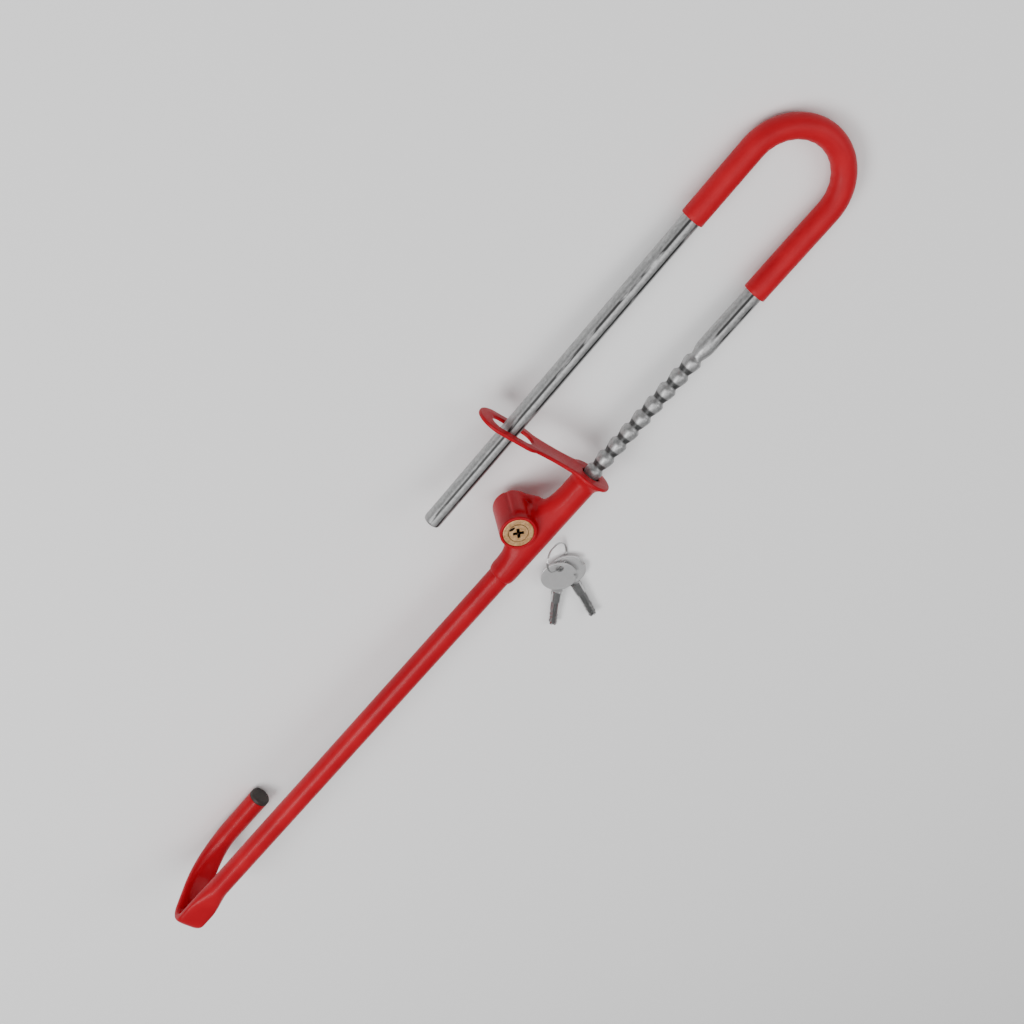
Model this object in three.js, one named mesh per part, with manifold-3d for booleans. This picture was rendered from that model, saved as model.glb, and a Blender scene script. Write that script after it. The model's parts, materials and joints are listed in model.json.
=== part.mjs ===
// A wheel-to-pedal steering lock: a tube with a pedal hook, a notched U shackle and a cross-key lock.
// Millimetres. The lock is drawn in its own frame, then leaned so that it lies on the floor, z = 0.
// Lock frame: +X along the tube towards the U, +Y towards the shackle's plain leg, +Z out of the lock's
// face, with x = 0 just outside the tube's mouth and y = z = 0 on the tube's axis.
import * as THREE from "three";
import { mergeVertices } from "three/addons/utils/BufferGeometryUtils.js";
import Module from "manifold-3d";

// Fit and facets
const GAP = 0.3; // between pieces that touch on the real lock
const OVERCUT = 1; // how far a cutting shape runs past what it cuts
const TUBE_SIDES = 16; // of the long tubes and the rod
const HOUSING_SIDES = 28;
const BARREL_SIDES = 36;
const SMALL_SIDES = 20;
const PIN_SIDES = 10;

// Tube and hook
const TUBE_RADIUS = 8;
const TUBE_BORE = 6.5;
const BEND_START_X = -440; // the tube is straight and round from the plate to here, then goes flat
const STRAP_Z = 3.2; // the flattened end of the tube rises this much before it folds
const FOLD_X = -478;
const FOLD_RADIUS = 8.5;
const FOLD_ANGLE = THREE.MathUtils.degToRad(128);
const ARM_Z = -47;
const ARM_BEND_RADIUS = 60;
const ARM_END_X = -389.5;
const STRAP_HALF_WIDTH = 12;
const STRAP_HALF_THICKNESS = 3.6;
const FLATTEN_TO_X = -468;
const ROUND_AGAIN_X = -436; // on the arm
const CAP_HEAD = 7;
const CAP_ROUNDING = 1.6;
const CAP_SPIGOT = 9;
const CAP_SPIGOT_CHAMFER = 0.8;

// Housing tube and guide plate
const HOUSING_RADIUS = 9.6;
const HOUSING_END_X = -93;
const HOUSING_CHAMFER = 0.5;
const TUBE_MOUTH_X = -0.5; // where the tube and the housing end, behind the plate
const PLATE_THICKNESS = 2.5;
const PLATE_FACE_X = 2.9; // where its outer face crosses the tube's axis
const PLATE_TILT = THREE.MathUtils.degToRad(2.7); // its eye leans towards the hook
const PLATE_LOBE_RADIUS = 15.3;
const PLATE_NECK_HALF_WIDTH = 9.3;
const PLATE_NECK_PINCH = 1.4; // how far the neck's sides draw in halfway
const PLATE_NECK_FLARE = 1.2; // of the angle at which the neck leaves the lobe and the eye
const EYE_INNER_Y = 55; // centres of the eye's two round ends
const EYE_OUTER_Y = 75.9;
const EYE_RADIUS = 13.9;
const SLOT_INNER_Y = 55; // centres of the slot's two round ends
const SLOT_OUTER_Y = 72.8;
const SLOT_HALF_WIDTH = 7;

// Shackle
const ROD_RADIUS = 6;
const LEG_SPACING = 65.5;
const BEND_CENTRE_X = 223;
const NOTCHED_END_X = -46;
const PLAIN_END_X = -85;
const END_CHAMFER = 0.8;
const NOTCH_PITCH = 12;
const FIRST_NECK_X = 10.4; // the first neck outside the plate
const NECKS_INSIDE = 4;
const NECKS_OUTSIDE = 9;
const NECK_RADIUS = 4.15;
const NOTCH_OUTLINE = [[-3.2, 5.9], [-1, 4.3], [0.5, NECK_RADIUS], [7.2, 5.7]]; // [from the neck, radius]
const NOTCH_RUN_OUT = 8.5; // from the last neck to the plain rod
const LEG_SEAM_X = 130; // the notched leg is round and plain on both sides of this
const SLEEVE_RADIUS = 7.8;
const SLEEVE_NOTCHED_X = 158.8;
const SLEEVE_PLAIN_X = 170.8;

// Lock barrel and what it holds. Heights are z, and radii are from the barrel's own axis.
const BARREL_X = -54;
const BARREL_Y = 18.4;
const BARREL_RADIUS = 12.5;
const BARREL_FRONT = 13.5;
const BARREL_BACK = -20.5;
const BARREL_BACK_CHAMFER = 1.4;
const BARREL_RIM_CHAMFER = 0.7;
const BODY_RADIUS = 10.3;
const FACE_Z = 13.2;
const FACE_CHAMFER = 0.4;
const BODY_BACK = -12;
const PLUG_RADIUS = 5.8;
const PLUG_FLANGE_RADIUS = 6.6;
const PLUG_FLANGE_DEPTH = 1.5;
const PLUG_TAIL_RADIUS = 5;
const PLUG_GROOVE_RADIUS = 4.3;
const PLUG_BACK = -15;
const CLIP_RADIUS = 7.2;
const CLIP_THICKNESS = 1;
const KEYWAY_HALF_SPAN = 3.7;
const KEYWAY_WIDTH = 2.1;
const KEYWAY_FLOOR_Z = -10;
const REAR_CAP_THICKNESS = 3;
const INDEX_MARK_HALF_LENGTH = 2.1; // an oval dimple in the plug's face
const INDEX_MARK_HALF_WIDTH = 0.9;
const INDEX_MARK_Y = 5.3;
const INDEX_MARK_TURN = THREE.MathUtils.degToRad(-14);
const INDEX_MARK_DEPTH = 1.2;
const RETAINER_RADIUS = 1.5;
const RETAINER_Z = -8;
const RETAINER_DEPTH = 1.7; // into the cylinder body

// Saddle web between the housing tube and the barrel, seen along the barrel's axis
const WEB_FRONT_X = -12;
const WEB_BACK_X = -89;
const WEB_EDGE_Y = 10.2; // its two ends stand this far from the tube's axis
const WEB_FRONT_SWEEP = [-31, 10.8]; // control points of the curves up to the barrel
const WEB_BACK_SWEEP = [-72, 12.6];
const WEB_TOP_FRONT_X = -42;
const WEB_TOP_BACK_X = -62;
const WEB_HALF_THICKNESS = 7.5;

// Pin stacks: four rows at the corners of the cross, two stacks in each
const PIN_RADIUS = 1.1;
const PIN_ROWS = 4;
const PIN_LEVELS = [8.2, 3.8];
const KEY_PIN_FROM = 3.3;
const KEY_PIN_TIP_RADIUS = 0.5;
const KEY_PIN_TAPER = 0.7;
const DRIVER_LENGTH = 1.6;
const PIN_SPRING_WIRE = 0.18;
const PIN_SPRING_TURNS = 2.5;
const PIN_SPRING_STEPS = 7; // in each turn

// Locking bolt: it moves from the barrel's axis towards the rod
const BOLT_RADIUS = 3;
const BOLT_TAIL_RADIUS = 1.2;
const BOLT_STROKE = 1.9;
const BOLT_NOSE = BARREL_Y - ROD_RADIUS - 0.4; // drawn back, just clear of the rod
const BOLT_NOSE_TIP_RADIUS = 0.9;
const BOLT_NOSE_TAPER = 1.7;
const BOLT_SHOULDER = 9.4;
const BOLT_TAIL_END = 4.3;
const BOLT_LEDGE = 7;
const CAM_CLEARANCE = 0.45;
const CAM_HALF_HEIGHT = 1.7;
const BOLT_SPRING_WIRE = 0.3;
const BOLT_SPRING_TURNS = 1.5;
const BOLT_SPRING_STEPS = 14; // in each turn

// Keys
const KEY_LENGTH = 60;
const KEY_HEAD_RADIUS = 13;
const KEY_HEAD_THICKNESS = 1.5;
const KEY_HOLE_RADIUS = 3;
const KEY_HOLE_INSET = 5.2; // from the head's rim to the hole's centre
const KEY_COLLAR_RADIUS = 4.2;
const KEY_COLLAR_LENGTH = 12;
const KEY_COLLAR_CHAMFER = 0.4;
const KEY_COLLAR_LAP = 0.5; // the collar starts this far inside the head's rim
const KEY_BITE_RADIUS = 2; // a bite out of the head's rim
const KEY_BITE_X = -2; // from the head's centre
const KEY_BITE_Y = 12.4;
const KEY_TANG_LENGTH = 6; // the head's tongue in the collar's slot
const KEY_TANG_WIDTH = 6;
const KEY_TANG_REACH = 4; // past the head's rim
const KEY_BLADE_HALF_SPAN = 3.3;
const KEY_BLADE_WIDTH = 1.7;
const KEY_BLADE_ROOT = 4; // inside the collar
const BITTING_RADIUS = 1.5;
const BITTING_DEPTH = 0.8;
const BITTING_SHARES = [[0.45, 0.7], [0.51, 0.65], [0.45, 0.6], [0.51, 0.7]]; // of the blade, for each arm
const TIP_BLOCK = 4; // side of the block that bevels the tip, which is twice as long
const TIP_BEVEL = THREE.MathUtils.degToRad(36);
const TIP_BLOCK_OFFSET = 1.6; // from the arm's edge to the block's middle
const RING_RADIUS = 11;
const RING_WIRE = 0.9;
const RING_LEAN = THREE.MathUtils.degToRad(45);
const RING_CENTRE = [-72, -38];
const KEY_AWAY = THREE.MathUtils.degToRad(226); // heading of the line that the two keys spread from
const KEY_A_HEADING = THREE.MathUtils.degToRad(244);
const KEY_B_HEADING = THREE.MathUtils.degToRad(216);
const KEY_B_PITCH = THREE.MathUtils.degToRad(4.4); // it lies on the other key's head and on its own tip

const wasm = await Module();
wasm.setup();

// ---- Helpers -----------------------------------------------------------------------------------------

function solid(geometry) {
  const bare = new THREE.BufferGeometry();
  const flat = geometry.index ? geometry.toNonIndexed() : geometry;
  bare.setAttribute("position", flat.getAttribute("position").clone());
  const merged = mergeVertices(bare, 1e-4);
  return new wasm.Manifold(
    new wasm.Mesh({
      numProp: 3,
      vertProperties: merged.attributes.position.array,
      triVerts: new Uint32Array(merged.index.array),
    }),
  );
}

function geometryOf(manifold) {
  const mesh = manifold.getMesh();
  const points = new Float32Array(mesh.numVert * 3);
  for (let i = 0; i < mesh.numVert; i++) {
    const at = i * mesh.numProp;
    points.set(mesh.vertProperties.subarray(at, at + 3), i * 3);
  }
  const geometry = new THREE.BufferGeometry();
  geometry.setAttribute("position", new THREE.BufferAttribute(points, 3));
  geometry.setIndex(new THREE.BufferAttribute(mesh.triVerts, 1));
  geometry.computeVertexNormals();
  return geometry;
}

function cut(geometry, ...tools) {
  return geometryOf(tools.reduce((left, tool) => left.subtract(solid(tool)), solid(geometry)));
}

function join(geometry, ...others) {
  return geometryOf(others.reduce((all, other) => all.add(solid(other)), solid(geometry)));
}

// A solid of revolution about Z from [radius, z] points, listed with the outer side going up.
function turned(profile, sides) {
  const points = profile.map(([radius, z]) => new THREE.Vector2(radius, z));
  return new THREE.LatheGeometry(points, sides).rotateX(Math.PI / 2);
}

function rodAlongZ(radius, from, to, sides = 24) {
  return turned([[0, from], [radius, from], [radius, to], [0, to]], sides);
}

// Turns a solid drawn along Z so that it runs along X, keeping its Z coordinates as X coordinates.
function alongX(geometry) {
  return geometry.rotateY(Math.PI / 2);
}

// Turns a solid drawn along Z so that it runs radially outwards at an angle about the Z axis.
function radial(geometry, angle, height) {
  return alongX(geometry).rotateZ(angle).translate(0, 0, height);
}

// The same, from the barrel's axis towards the rod, which is how the bolt moves.
function towardsRod(geometry) {
  return radial(geometry, -Math.PI / 2, 0);
}

function circle(radius, sides) {
  const shape = new THREE.Shape();
  for (let i = 0; i <= sides; i++) {
    const angle = (2 * Math.PI * i) / sides;
    const x = radius * Math.cos(angle);
    const y = radius * Math.sin(angle);
    if (i) shape.lineTo(x, y);
    else shape.moveTo(x, y);
  }
  return shape;
}

function extruded(shape, depth, curveSegments = 8) {
  return new THREE.ExtrudeGeometry(shape, { depth, bevelEnabled: false, curveSegments });
}

// A route through listed stations, sampled at the stations themselves and not at equal lengths.
class Route extends THREE.Curve {
  constructor(stations) {
    super();
    this.stations = stations;
  }
  getPoint(t) {
    const last = this.stations.length - 1;
    const low = Math.min(Math.floor(t * last + 1e-6), last - 1);
    return this.stations[low].clone().lerp(this.stations[low + 1], t * last - low);
  }
  getPointAt(t) {
    return this.getPoint(t);
  }
  getTangentAt(t) {
    const last = this.stations.length - 1;
    const here = Math.round(t * last);
    const before = this.stations[Math.max(here - 1, 0)];
    const at = this.stations[here];
    const after = this.stations[Math.min(here + 1, last)];
    const arriving = at.clone().sub(before).normalize();
    const leaving = after.clone().sub(at).normalize();
    return arriving.add(leaving).normalize();
  }
}

function swept(shape, stations) {
  return new THREE.ExtrudeGeometry(shape, {
    steps: stations.length - 1,
    extrudePath: new Route(stations),
    bevelEnabled: false,
  });
}

function helix(radius, from, to, turns, perTurn) {
  const count = Math.round(turns * perTurn);
  const stations = [];
  for (let i = 0; i <= count; i++) {
    const angle = (2 * Math.PI * i) / perTurn;
    const z = from + ((to - from) * i) / count;
    stations.push(new THREE.Vector3(radius * Math.cos(angle), radius * Math.sin(angle), z));
  }
  return stations;
}

function paint(colour, roughness, metalness) {
  return () => new THREE.MeshStandardMaterial({ color: colour, roughness, metalness });
}
const redPaint = paint(0xb9161c, 0.3, 0.1);
const redVinyl = paint(0xc3191f, 0.45, 0);
const blackPlastic = paint(0x231c1a, 0.6, 0);
const zinc = paint(0xb0b2b4, 0.32, 0.9);
const brass = paint(0xdeb284, 0.35, 0.85);
const steel = paint(0x9a9a98, 0.35, 0.95);
const nickel = paint(0xc9cacb, 0.25, 0.95);

function piece(name, geometry, material) {
  const mesh = new THREE.Mesh(geometry, material());
  mesh.name = name;
  return mesh;
}

// ---- Tube, hook and housing ---------------------------------------------------------------------------

// The tube's centre line, in the plane y = 0: straight, up to the strap, round the fold, back as the arm.
function hookRoute() {
  const stations = [];
  const add = (x, z) => stations.push(new THREE.Vector3(x, 0, z));
  add(TUBE_MOUTH_X, 0);
  const riseSteps = 6;
  for (let i = 0; i <= riseSteps; i++) {
    const share = i / riseSteps;
    const x = THREE.MathUtils.lerp(BEND_START_X, FLATTEN_TO_X, share);
    add(x, STRAP_Z * THREE.MathUtils.smoothstep(share, 0, 1));
  }
  const foldSteps = 9;
  for (let i = 0; i <= foldSteps; i++) {
    const angle = (FOLD_ANGLE * i) / foldSteps;
    const z = STRAP_Z - FOLD_RADIUS + FOLD_RADIUS * Math.cos(angle);
    add(FOLD_X - FOLD_RADIUS * Math.sin(angle), z);
  }
  const turn = Math.PI - FOLD_ANGLE;
  const fold = stations[stations.length - 1];
  const drop = fold.z - ARM_Z - ARM_BEND_RADIUS * (1 - Math.cos(turn));
  const bendX = fold.x + drop / Math.tan(turn) + ARM_BEND_RADIUS * Math.sin(turn);
  const armSteps = 8;
  for (let i = 0; i <= armSteps; i++) {
    const angle = turn * (1 - i / armSteps);
    const x = bendX - ARM_BEND_RADIUS * Math.sin(angle);
    add(x, ARM_Z + ARM_BEND_RADIUS * (1 - Math.cos(angle)));
  }
  add(ARM_END_X, ARM_Z);
  return stations;
}

// How flat the tube is at a station: 0 where it is round, 1 in the strap and round the fold.
function flatness(station) {
  const onArm = station.z < -FOLD_RADIUS;
  const { smoothstep } = THREE.MathUtils;
  if (onArm) return 1 - smoothstep(station.x, FOLD_X, ROUND_AGAIN_X);
  return 1 - smoothstep(station.x, FLATTEN_TO_X, BEND_START_X);
}

// Presses a round swept tube flat where flatness says, keeping its wall. Its route lies in the plane y = 0.
function flatten(geometry, stations) {
  const route = new Route(stations);
  const last = stations.length - 1;
  const frames = stations.map((at, i) => {
    const along = route.getTangentAt(i / last);
    return { at, along, across: new THREE.Vector3(-along.z, 0, along.x) };
  });
  const position = geometry.getAttribute("position");
  const point = new THREE.Vector3();
  for (let i = 0; i < position.count; i++) {
    point.fromBufferAttribute(position, i);
    const owner = frames.find(({ at, along }) => {
      const offset = point.clone().sub(at);
      return Math.abs(offset.dot(along)) < 1e-3 && offset.length() < TUBE_RADIUS + 1;
    });
    const offset = point.clone().sub(owner.at);
    const radius = offset.length();
    const inset = TUBE_RADIUS - radius;
    const flat = flatness(owner.at);
    const width = THREE.MathUtils.lerp(TUBE_RADIUS, STRAP_HALF_WIDTH, flat) - inset;
    const thickness = THREE.MathUtils.lerp(TUBE_RADIUS, STRAP_HALF_THICKNESS, flat) - inset;
    const sideways = (offset.y / radius) * width;
    const outwards = (offset.dot(owner.across) / radius) * thickness;
    point.copy(owner.at).addScaledVector(owner.across, outwards);
    position.setXYZ(i, point.x, sideways, point.z);
  }
  return geometry;
}

// The hole that the lock barrel goes through, with its gap.
function barrelWindow() {
  const reach = HOUSING_RADIUS + OVERCUT;
  const hole = rodAlongZ(BARREL_RADIUS + GAP, -reach, reach, BARREL_SIDES);
  return hole.translate(BARREL_X, BARREL_Y, 0);
}

function lowerTube() {
  const section = circle(TUBE_RADIUS, TUBE_SIDES);
  section.holes.push(circle(TUBE_BORE, TUBE_SIDES));
  const stations = hookRoute();
  return piece("lower_tube", cut(flatten(swept(section, stations), stations), barrelWindow()), redPaint);
}

function hookCap() {
  const from = ARM_END_X + GAP;
  const to = from + CAP_HEAD;
  const spigot = TUBE_BORE - GAP;
  const profile = [
    [0, from - CAP_SPIGOT],
    [spigot - CAP_SPIGOT_CHAMFER, from - CAP_SPIGOT],
    [spigot, from - CAP_SPIGOT + CAP_SPIGOT_CHAMFER],
    [spigot, from],
    [TUBE_RADIUS, from],
    [TUBE_RADIUS, to - CAP_ROUNDING],
    [TUBE_RADIUS - 0.75 * CAP_ROUNDING, to - 0.25 * CAP_ROUNDING],
    [TUBE_RADIUS - 2 * CAP_ROUNDING, to],
    [0, to],
  ];
  return piece("hook_cap", alongX(turned(profile, HOUSING_SIDES)).translate(0, 0, ARM_Z), blackPlastic);
}

function housingTube() {
  const inner = TUBE_RADIUS + GAP;
  const from = HOUSING_END_X;
  const to = TUBE_MOUTH_X;
  const profile = [
    [inner, from],
    [HOUSING_RADIUS - HOUSING_CHAMFER, from],
    [HOUSING_RADIUS, from + HOUSING_CHAMFER],
    [HOUSING_RADIUS, to],
    [inner, to],
    [inner, from],
  ];
  return piece("housing_tube", cut(alongX(turned(profile, HOUSING_SIDES)), barrelWindow()), redPaint);
}

// A flat link across the tube: a lobe on the tube's mouth, a neck, and a long eye for the plain leg.
function guidePlate() {
  const outline = new THREE.Shape();
  const lobeAngle = Math.asin(PLATE_NECK_HALF_WIDTH / PLATE_LOBE_RADIUS) * PLATE_NECK_FLARE;
  const lobeY = PLATE_LOBE_RADIUS * Math.cos(lobeAngle);
  const lobeZ = PLATE_LOBE_RADIUS * Math.sin(lobeAngle);
  const eyeAngle = Math.PI - Math.asin(PLATE_NECK_HALF_WIDTH / EYE_RADIUS) * PLATE_NECK_FLARE;
  const eyeY = EYE_INNER_Y + EYE_RADIUS * Math.cos(eyeAngle);
  const eyeZ = EYE_RADIUS * Math.sin(eyeAngle);
  const neckY = (lobeY + eyeY) / 2;
  const neckZ = PLATE_NECK_HALF_WIDTH - PLATE_NECK_PINCH;
  outline.moveTo(lobeY, lobeZ);
  outline.absarc(0, 0, PLATE_LOBE_RADIUS, lobeAngle, 2 * Math.PI - lobeAngle, false);
  outline.quadraticCurveTo(neckY, -neckZ, eyeY, -eyeZ);
  outline.absarc(EYE_INNER_Y, 0, EYE_RADIUS, -eyeAngle, -Math.PI / 2, false);
  outline.absarc(EYE_OUTER_Y, 0, EYE_RADIUS, -Math.PI / 2, Math.PI / 2, false);
  outline.absarc(EYE_INNER_Y, 0, EYE_RADIUS, Math.PI / 2, eyeAngle, false);
  outline.quadraticCurveTo(neckY, neckZ, lobeY, lobeZ);
  outline.holes.push(circle(ROD_RADIUS + 2 * GAP, HOUSING_SIDES));
  const slot = new THREE.Path();
  slot.absarc(SLOT_INNER_Y, 0, SLOT_HALF_WIDTH, Math.PI / 2, (3 * Math.PI) / 2, false);
  slot.absarc(SLOT_OUTER_Y, 0, SLOT_HALF_WIDTH, -Math.PI / 2, Math.PI / 2, false);
  slot.closePath();
  outline.holes.push(slot);
  // Drawn in the plane of (first, second) = (y, z), with its depth along x.
  const plate = extruded(outline, PLATE_THICKNESS, 10);
  const stand = new THREE.Matrix4().makeBasis(
    new THREE.Vector3(0, 1, 0),
    new THREE.Vector3(0, 0, 1),
    new THREE.Vector3(1, 0, 0),
  );
  plate.applyMatrix4(stand).translate(-PLATE_THICKNESS, 0, 0);
  return piece("guide_plate", plate.rotateZ(PLATE_TILT).translate(PLATE_FACE_X, 0, 0), redPaint);
}

// ---- Lock barrel ----------------------------------------------------------------------------------------

// The web that carries the barrel on the housing tube, seen along the barrel's axis.
function saddleWeb() {
  const outline = new THREE.Shape();
  outline.moveTo(WEB_BACK_X, 0);
  outline.lineTo(WEB_FRONT_X, 0);
  outline.lineTo(WEB_FRONT_X, WEB_EDGE_Y);
  outline.quadraticCurveTo(...WEB_FRONT_SWEEP, WEB_TOP_FRONT_X, BARREL_Y);
  outline.lineTo(WEB_TOP_BACK_X, BARREL_Y);
  outline.quadraticCurveTo(...WEB_BACK_SWEEP, WEB_BACK_X, WEB_EDGE_Y);
  outline.closePath();
  return extruded(outline, 2 * WEB_HALF_THICKNESS, 6).translate(0, 0, -WEB_HALF_THICKNESS);
}

function lockBarrel() {
  const shell = turned(
    [
      [0, BARREL_BACK],
      [BARREL_RADIUS - BARREL_BACK_CHAMFER, BARREL_BACK],
      [BARREL_RADIUS, BARREL_BACK + BARREL_BACK_CHAMFER],
      [BARREL_RADIUS, BARREL_FRONT - BARREL_RIM_CHAMFER],
      [BARREL_RADIUS - BARREL_RIM_CHAMFER, BARREL_FRONT],
      [0, BARREL_FRONT],
    ],
    BARREL_SIDES,
  );
  shell.translate(BARREL_X, BARREL_Y, 0);
  const alongTube = (radius) => {
    const bar = rodAlongZ(radius, WEB_BACK_X - OVERCUT, WEB_FRONT_X + OVERCUT, HOUSING_SIDES);
    return alongX(bar);
  };
  const tubeClearance = alongTube(HOUSING_RADIUS + GAP);
  const rodChannel = alongTube(TUBE_BORE);
  const bore = rodAlongZ(BODY_RADIUS + GAP, BARREL_BACK - OVERCUT, BARREL_FRONT + OVERCUT, BARREL_SIDES);
  bore.translate(BARREL_X, BARREL_Y, 0);
  const boltHole = towardsRod(rodAlongZ(BOLT_RADIUS + GAP, BOLT_SHOULDER, BARREL_RADIUS + OVERCUT));
  boltHole.translate(BARREL_X, BARREL_Y, 0);
  const pinHole = retainingPinShape(RETAINER_RADIUS + GAP, BODY_RADIUS - OVERCUT, BARREL_RADIUS + OVERCUT);
  pinHole.translate(BARREL_X, BARREL_Y, 0);
  const web = cut(saddleWeb(), tubeClearance);
  return piece("lock_barrel", cut(join(shell, web), bore, rodChannel, boltHole, pinHole), redPaint);
}

function retainingPinShape(radius, from, to) {
  return radial(rodAlongZ(radius, from, to, SMALL_SIDES), Math.PI / 2, RETAINER_Z);
}

function barrelParts() {
  const group = new THREE.Group();
  group.position.set(BARREL_X, BARREL_Y, 0);
  group.add(rearCap(), cylinderBody(), retainingPin(), lockPlug(), plugClip(), lockingBolt(), boltSpring());
  let number = 0;
  for (let row = 0; row < PIN_ROWS; row++) {
    for (const level of PIN_LEVELS) {
      number += 1;
      group.add(...pinStack(number, Math.PI / 4 + (row * 2 * Math.PI) / PIN_ROWS, level));
    }
  }
  return group;
}

function rearCap() {
  const radius = BODY_RADIUS;
  const profile = [
    [0, BARREL_BACK],
    [radius - BARREL_RIM_CHAMFER, BARREL_BACK],
    [radius, BARREL_BACK + BARREL_RIM_CHAMFER],
    [radius, BARREL_BACK + REAR_CAP_THICKNESS],
    [0, BARREL_BACK + REAR_CAP_THICKNESS],
  ];
  return piece("barrel_rear_cap", turned(profile, BARREL_SIDES), redPaint);
}

function retainingPin() {
  const shape = retainingPinShape(RETAINER_RADIUS, BODY_RADIUS - RETAINER_DEPTH, BARREL_RADIUS - GAP);
  return piece("cylinder_retaining_pin", shape, steel);
}

function pinBores(from, to) {
  const bores = [];
  for (let row = 0; row < PIN_ROWS; row++) {
    for (const level of PIN_LEVELS) {
      const bore = rodAlongZ(PIN_RADIUS + GAP, from, to, PIN_SIDES);
      bores.push(radial(bore, Math.PI / 4 + (row * 2 * Math.PI) / PIN_ROWS, level));
    }
  }
  return bores;
}

function cylinderBody() {
  const blank = turned(
    [
      [0, BODY_BACK],
      [BODY_RADIUS, BODY_BACK],
      [BODY_RADIUS, FACE_Z - FACE_CHAMFER],
      [BODY_RADIUS - FACE_CHAMFER, FACE_Z],
      [0, FACE_Z],
    ],
    BARREL_SIDES,
  );
  const plugBore = turned(
    [
      [0, BODY_BACK - OVERCUT],
      [PLUG_RADIUS + GAP, BODY_BACK - OVERCUT],
      [PLUG_RADIUS + GAP, FACE_Z - PLUG_FLANGE_DEPTH - GAP],
      [PLUG_FLANGE_RADIUS + GAP, FACE_Z - PLUG_FLANGE_DEPTH - GAP],
      [PLUG_FLANGE_RADIUS + GAP, FACE_Z + OVERCUT],
      [0, FACE_Z + OVERCUT],
    ],
    HOUSING_SIDES,
  );
  const tailBore = towardsRod(rodAlongZ(BOLT_TAIL_RADIUS + GAP, PLUG_RADIUS, BOLT_LEDGE + OVERCUT));
  const boltBore = towardsRod(rodAlongZ(BOLT_RADIUS + GAP, BOLT_LEDGE, BODY_RADIUS + OVERCUT));
  const pinFloor = BODY_RADIUS - RETAINER_DEPTH - GAP;
  const pinHole = retainingPinShape(RETAINER_RADIUS + GAP, pinFloor, BODY_RADIUS + OVERCUT);
  const bores = [plugBore, tailBore, boltBore, pinHole];
  bores.push(...pinBores(PLUG_RADIUS, BODY_RADIUS + OVERCUT));
  return piece("cylinder_body", cut(blank, ...bores), brass);
}

// Two crossed bars: the keyway and the key's blade, with arms at 45 degrees to the tube.
function crossBars(halfSpan, width, from, to) {
  const bars = [Math.PI / 4, -Math.PI / 4].map((angle) => {
    const bar = new THREE.BoxGeometry(2 * halfSpan, width, to - from);
    return bar.translate(0, 0, (from + to) / 2).rotateZ(angle);
  });
  return join(...bars);
}

// The recess behind the bolt's tail: a spiral that lets it out by BOLT_STROKE as the plug turns 90 degrees.
function camRecess() {
  const outline = new THREE.Shape();
  const steps = 12;
  const before = THREE.MathUtils.degToRad(24);
  const full = Math.PI / 2;
  const outer = PLUG_RADIUS + OVERCUT;
  const inner = (turn) => {
    const share = THREE.MathUtils.clamp(turn / full, 0, 1);
    return BOLT_TAIL_END - CAM_CLEARANCE + BOLT_STROKE * share;
  };
  const at = (radius, turn) => [radius * Math.cos(full + turn), -radius * Math.sin(full + turn)];
  for (let i = 0; i <= steps; i++) {
    const turn = -before + ((full + before) * i) / steps;
    if (i) outline.lineTo(...at(inner(turn), turn));
    else outline.moveTo(...at(inner(turn), turn));
  }
  for (let i = steps; i >= 0; i--) {
    const turn = -before + ((full + before) * i) / steps;
    outline.lineTo(...at(outer, turn));
  }
  outline.closePath();
  return extruded(outline, 2 * CAM_HALF_HEIGHT).translate(0, 0, -CAM_HALF_HEIGHT);
}

function lockPlug() {
  const groove = BODY_BACK - CLIP_THICKNESS - 2 * GAP;
  const blank = turned(
    [
      [0, PLUG_BACK],
      [PLUG_TAIL_RADIUS, PLUG_BACK],
      [PLUG_TAIL_RADIUS, groove],
      [PLUG_GROOVE_RADIUS, groove],
      [PLUG_GROOVE_RADIUS, BODY_BACK],
      [PLUG_RADIUS, BODY_BACK],
      [PLUG_RADIUS, FACE_Z - PLUG_FLANGE_DEPTH],
      [PLUG_FLANGE_RADIUS, FACE_Z - PLUG_FLANGE_DEPTH],
      [PLUG_FLANGE_RADIUS, FACE_Z],
      [0, FACE_Z],
    ],
    HOUSING_SIDES,
  );
  const keyway = crossBars(KEYWAY_HALF_SPAN, KEYWAY_WIDTH, KEYWAY_FLOOR_Z, FACE_Z + OVERCUT);
  const mark = rodAlongZ(1, FACE_Z - INDEX_MARK_DEPTH, FACE_Z + OVERCUT, SMALL_SIDES);
  mark.scale(INDEX_MARK_HALF_LENGTH, INDEX_MARK_HALF_WIDTH, 1);
  mark.rotateZ(INDEX_MARK_TURN).translate(0, INDEX_MARK_Y, 0);
  const bores = pinBores(KEYWAY_HALF_SPAN - OVERCUT, PLUG_RADIUS + OVERCUT);
  return piece("lock_plug", cut(blank, keyway, mark, camRecess(), ...bores), brass);
}

// An open ring that snaps into the plug's groove behind the cylinder body.
function plugClip() {
  const outline = new THREE.Shape();
  const open = THREE.MathUtils.degToRad(25);
  outline.absarc(0, 0, CLIP_RADIUS, open, 2 * Math.PI - open, false);
  outline.absarc(0, 0, PLUG_GROOVE_RADIUS + GAP, 2 * Math.PI - open, open, true);
  outline.closePath();
  const clip = extruded(outline, CLIP_THICKNESS, 12);
  return piece("plug_clip", clip.translate(0, 0, BODY_BACK - GAP - CLIP_THICKNESS), steel);
}

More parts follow.
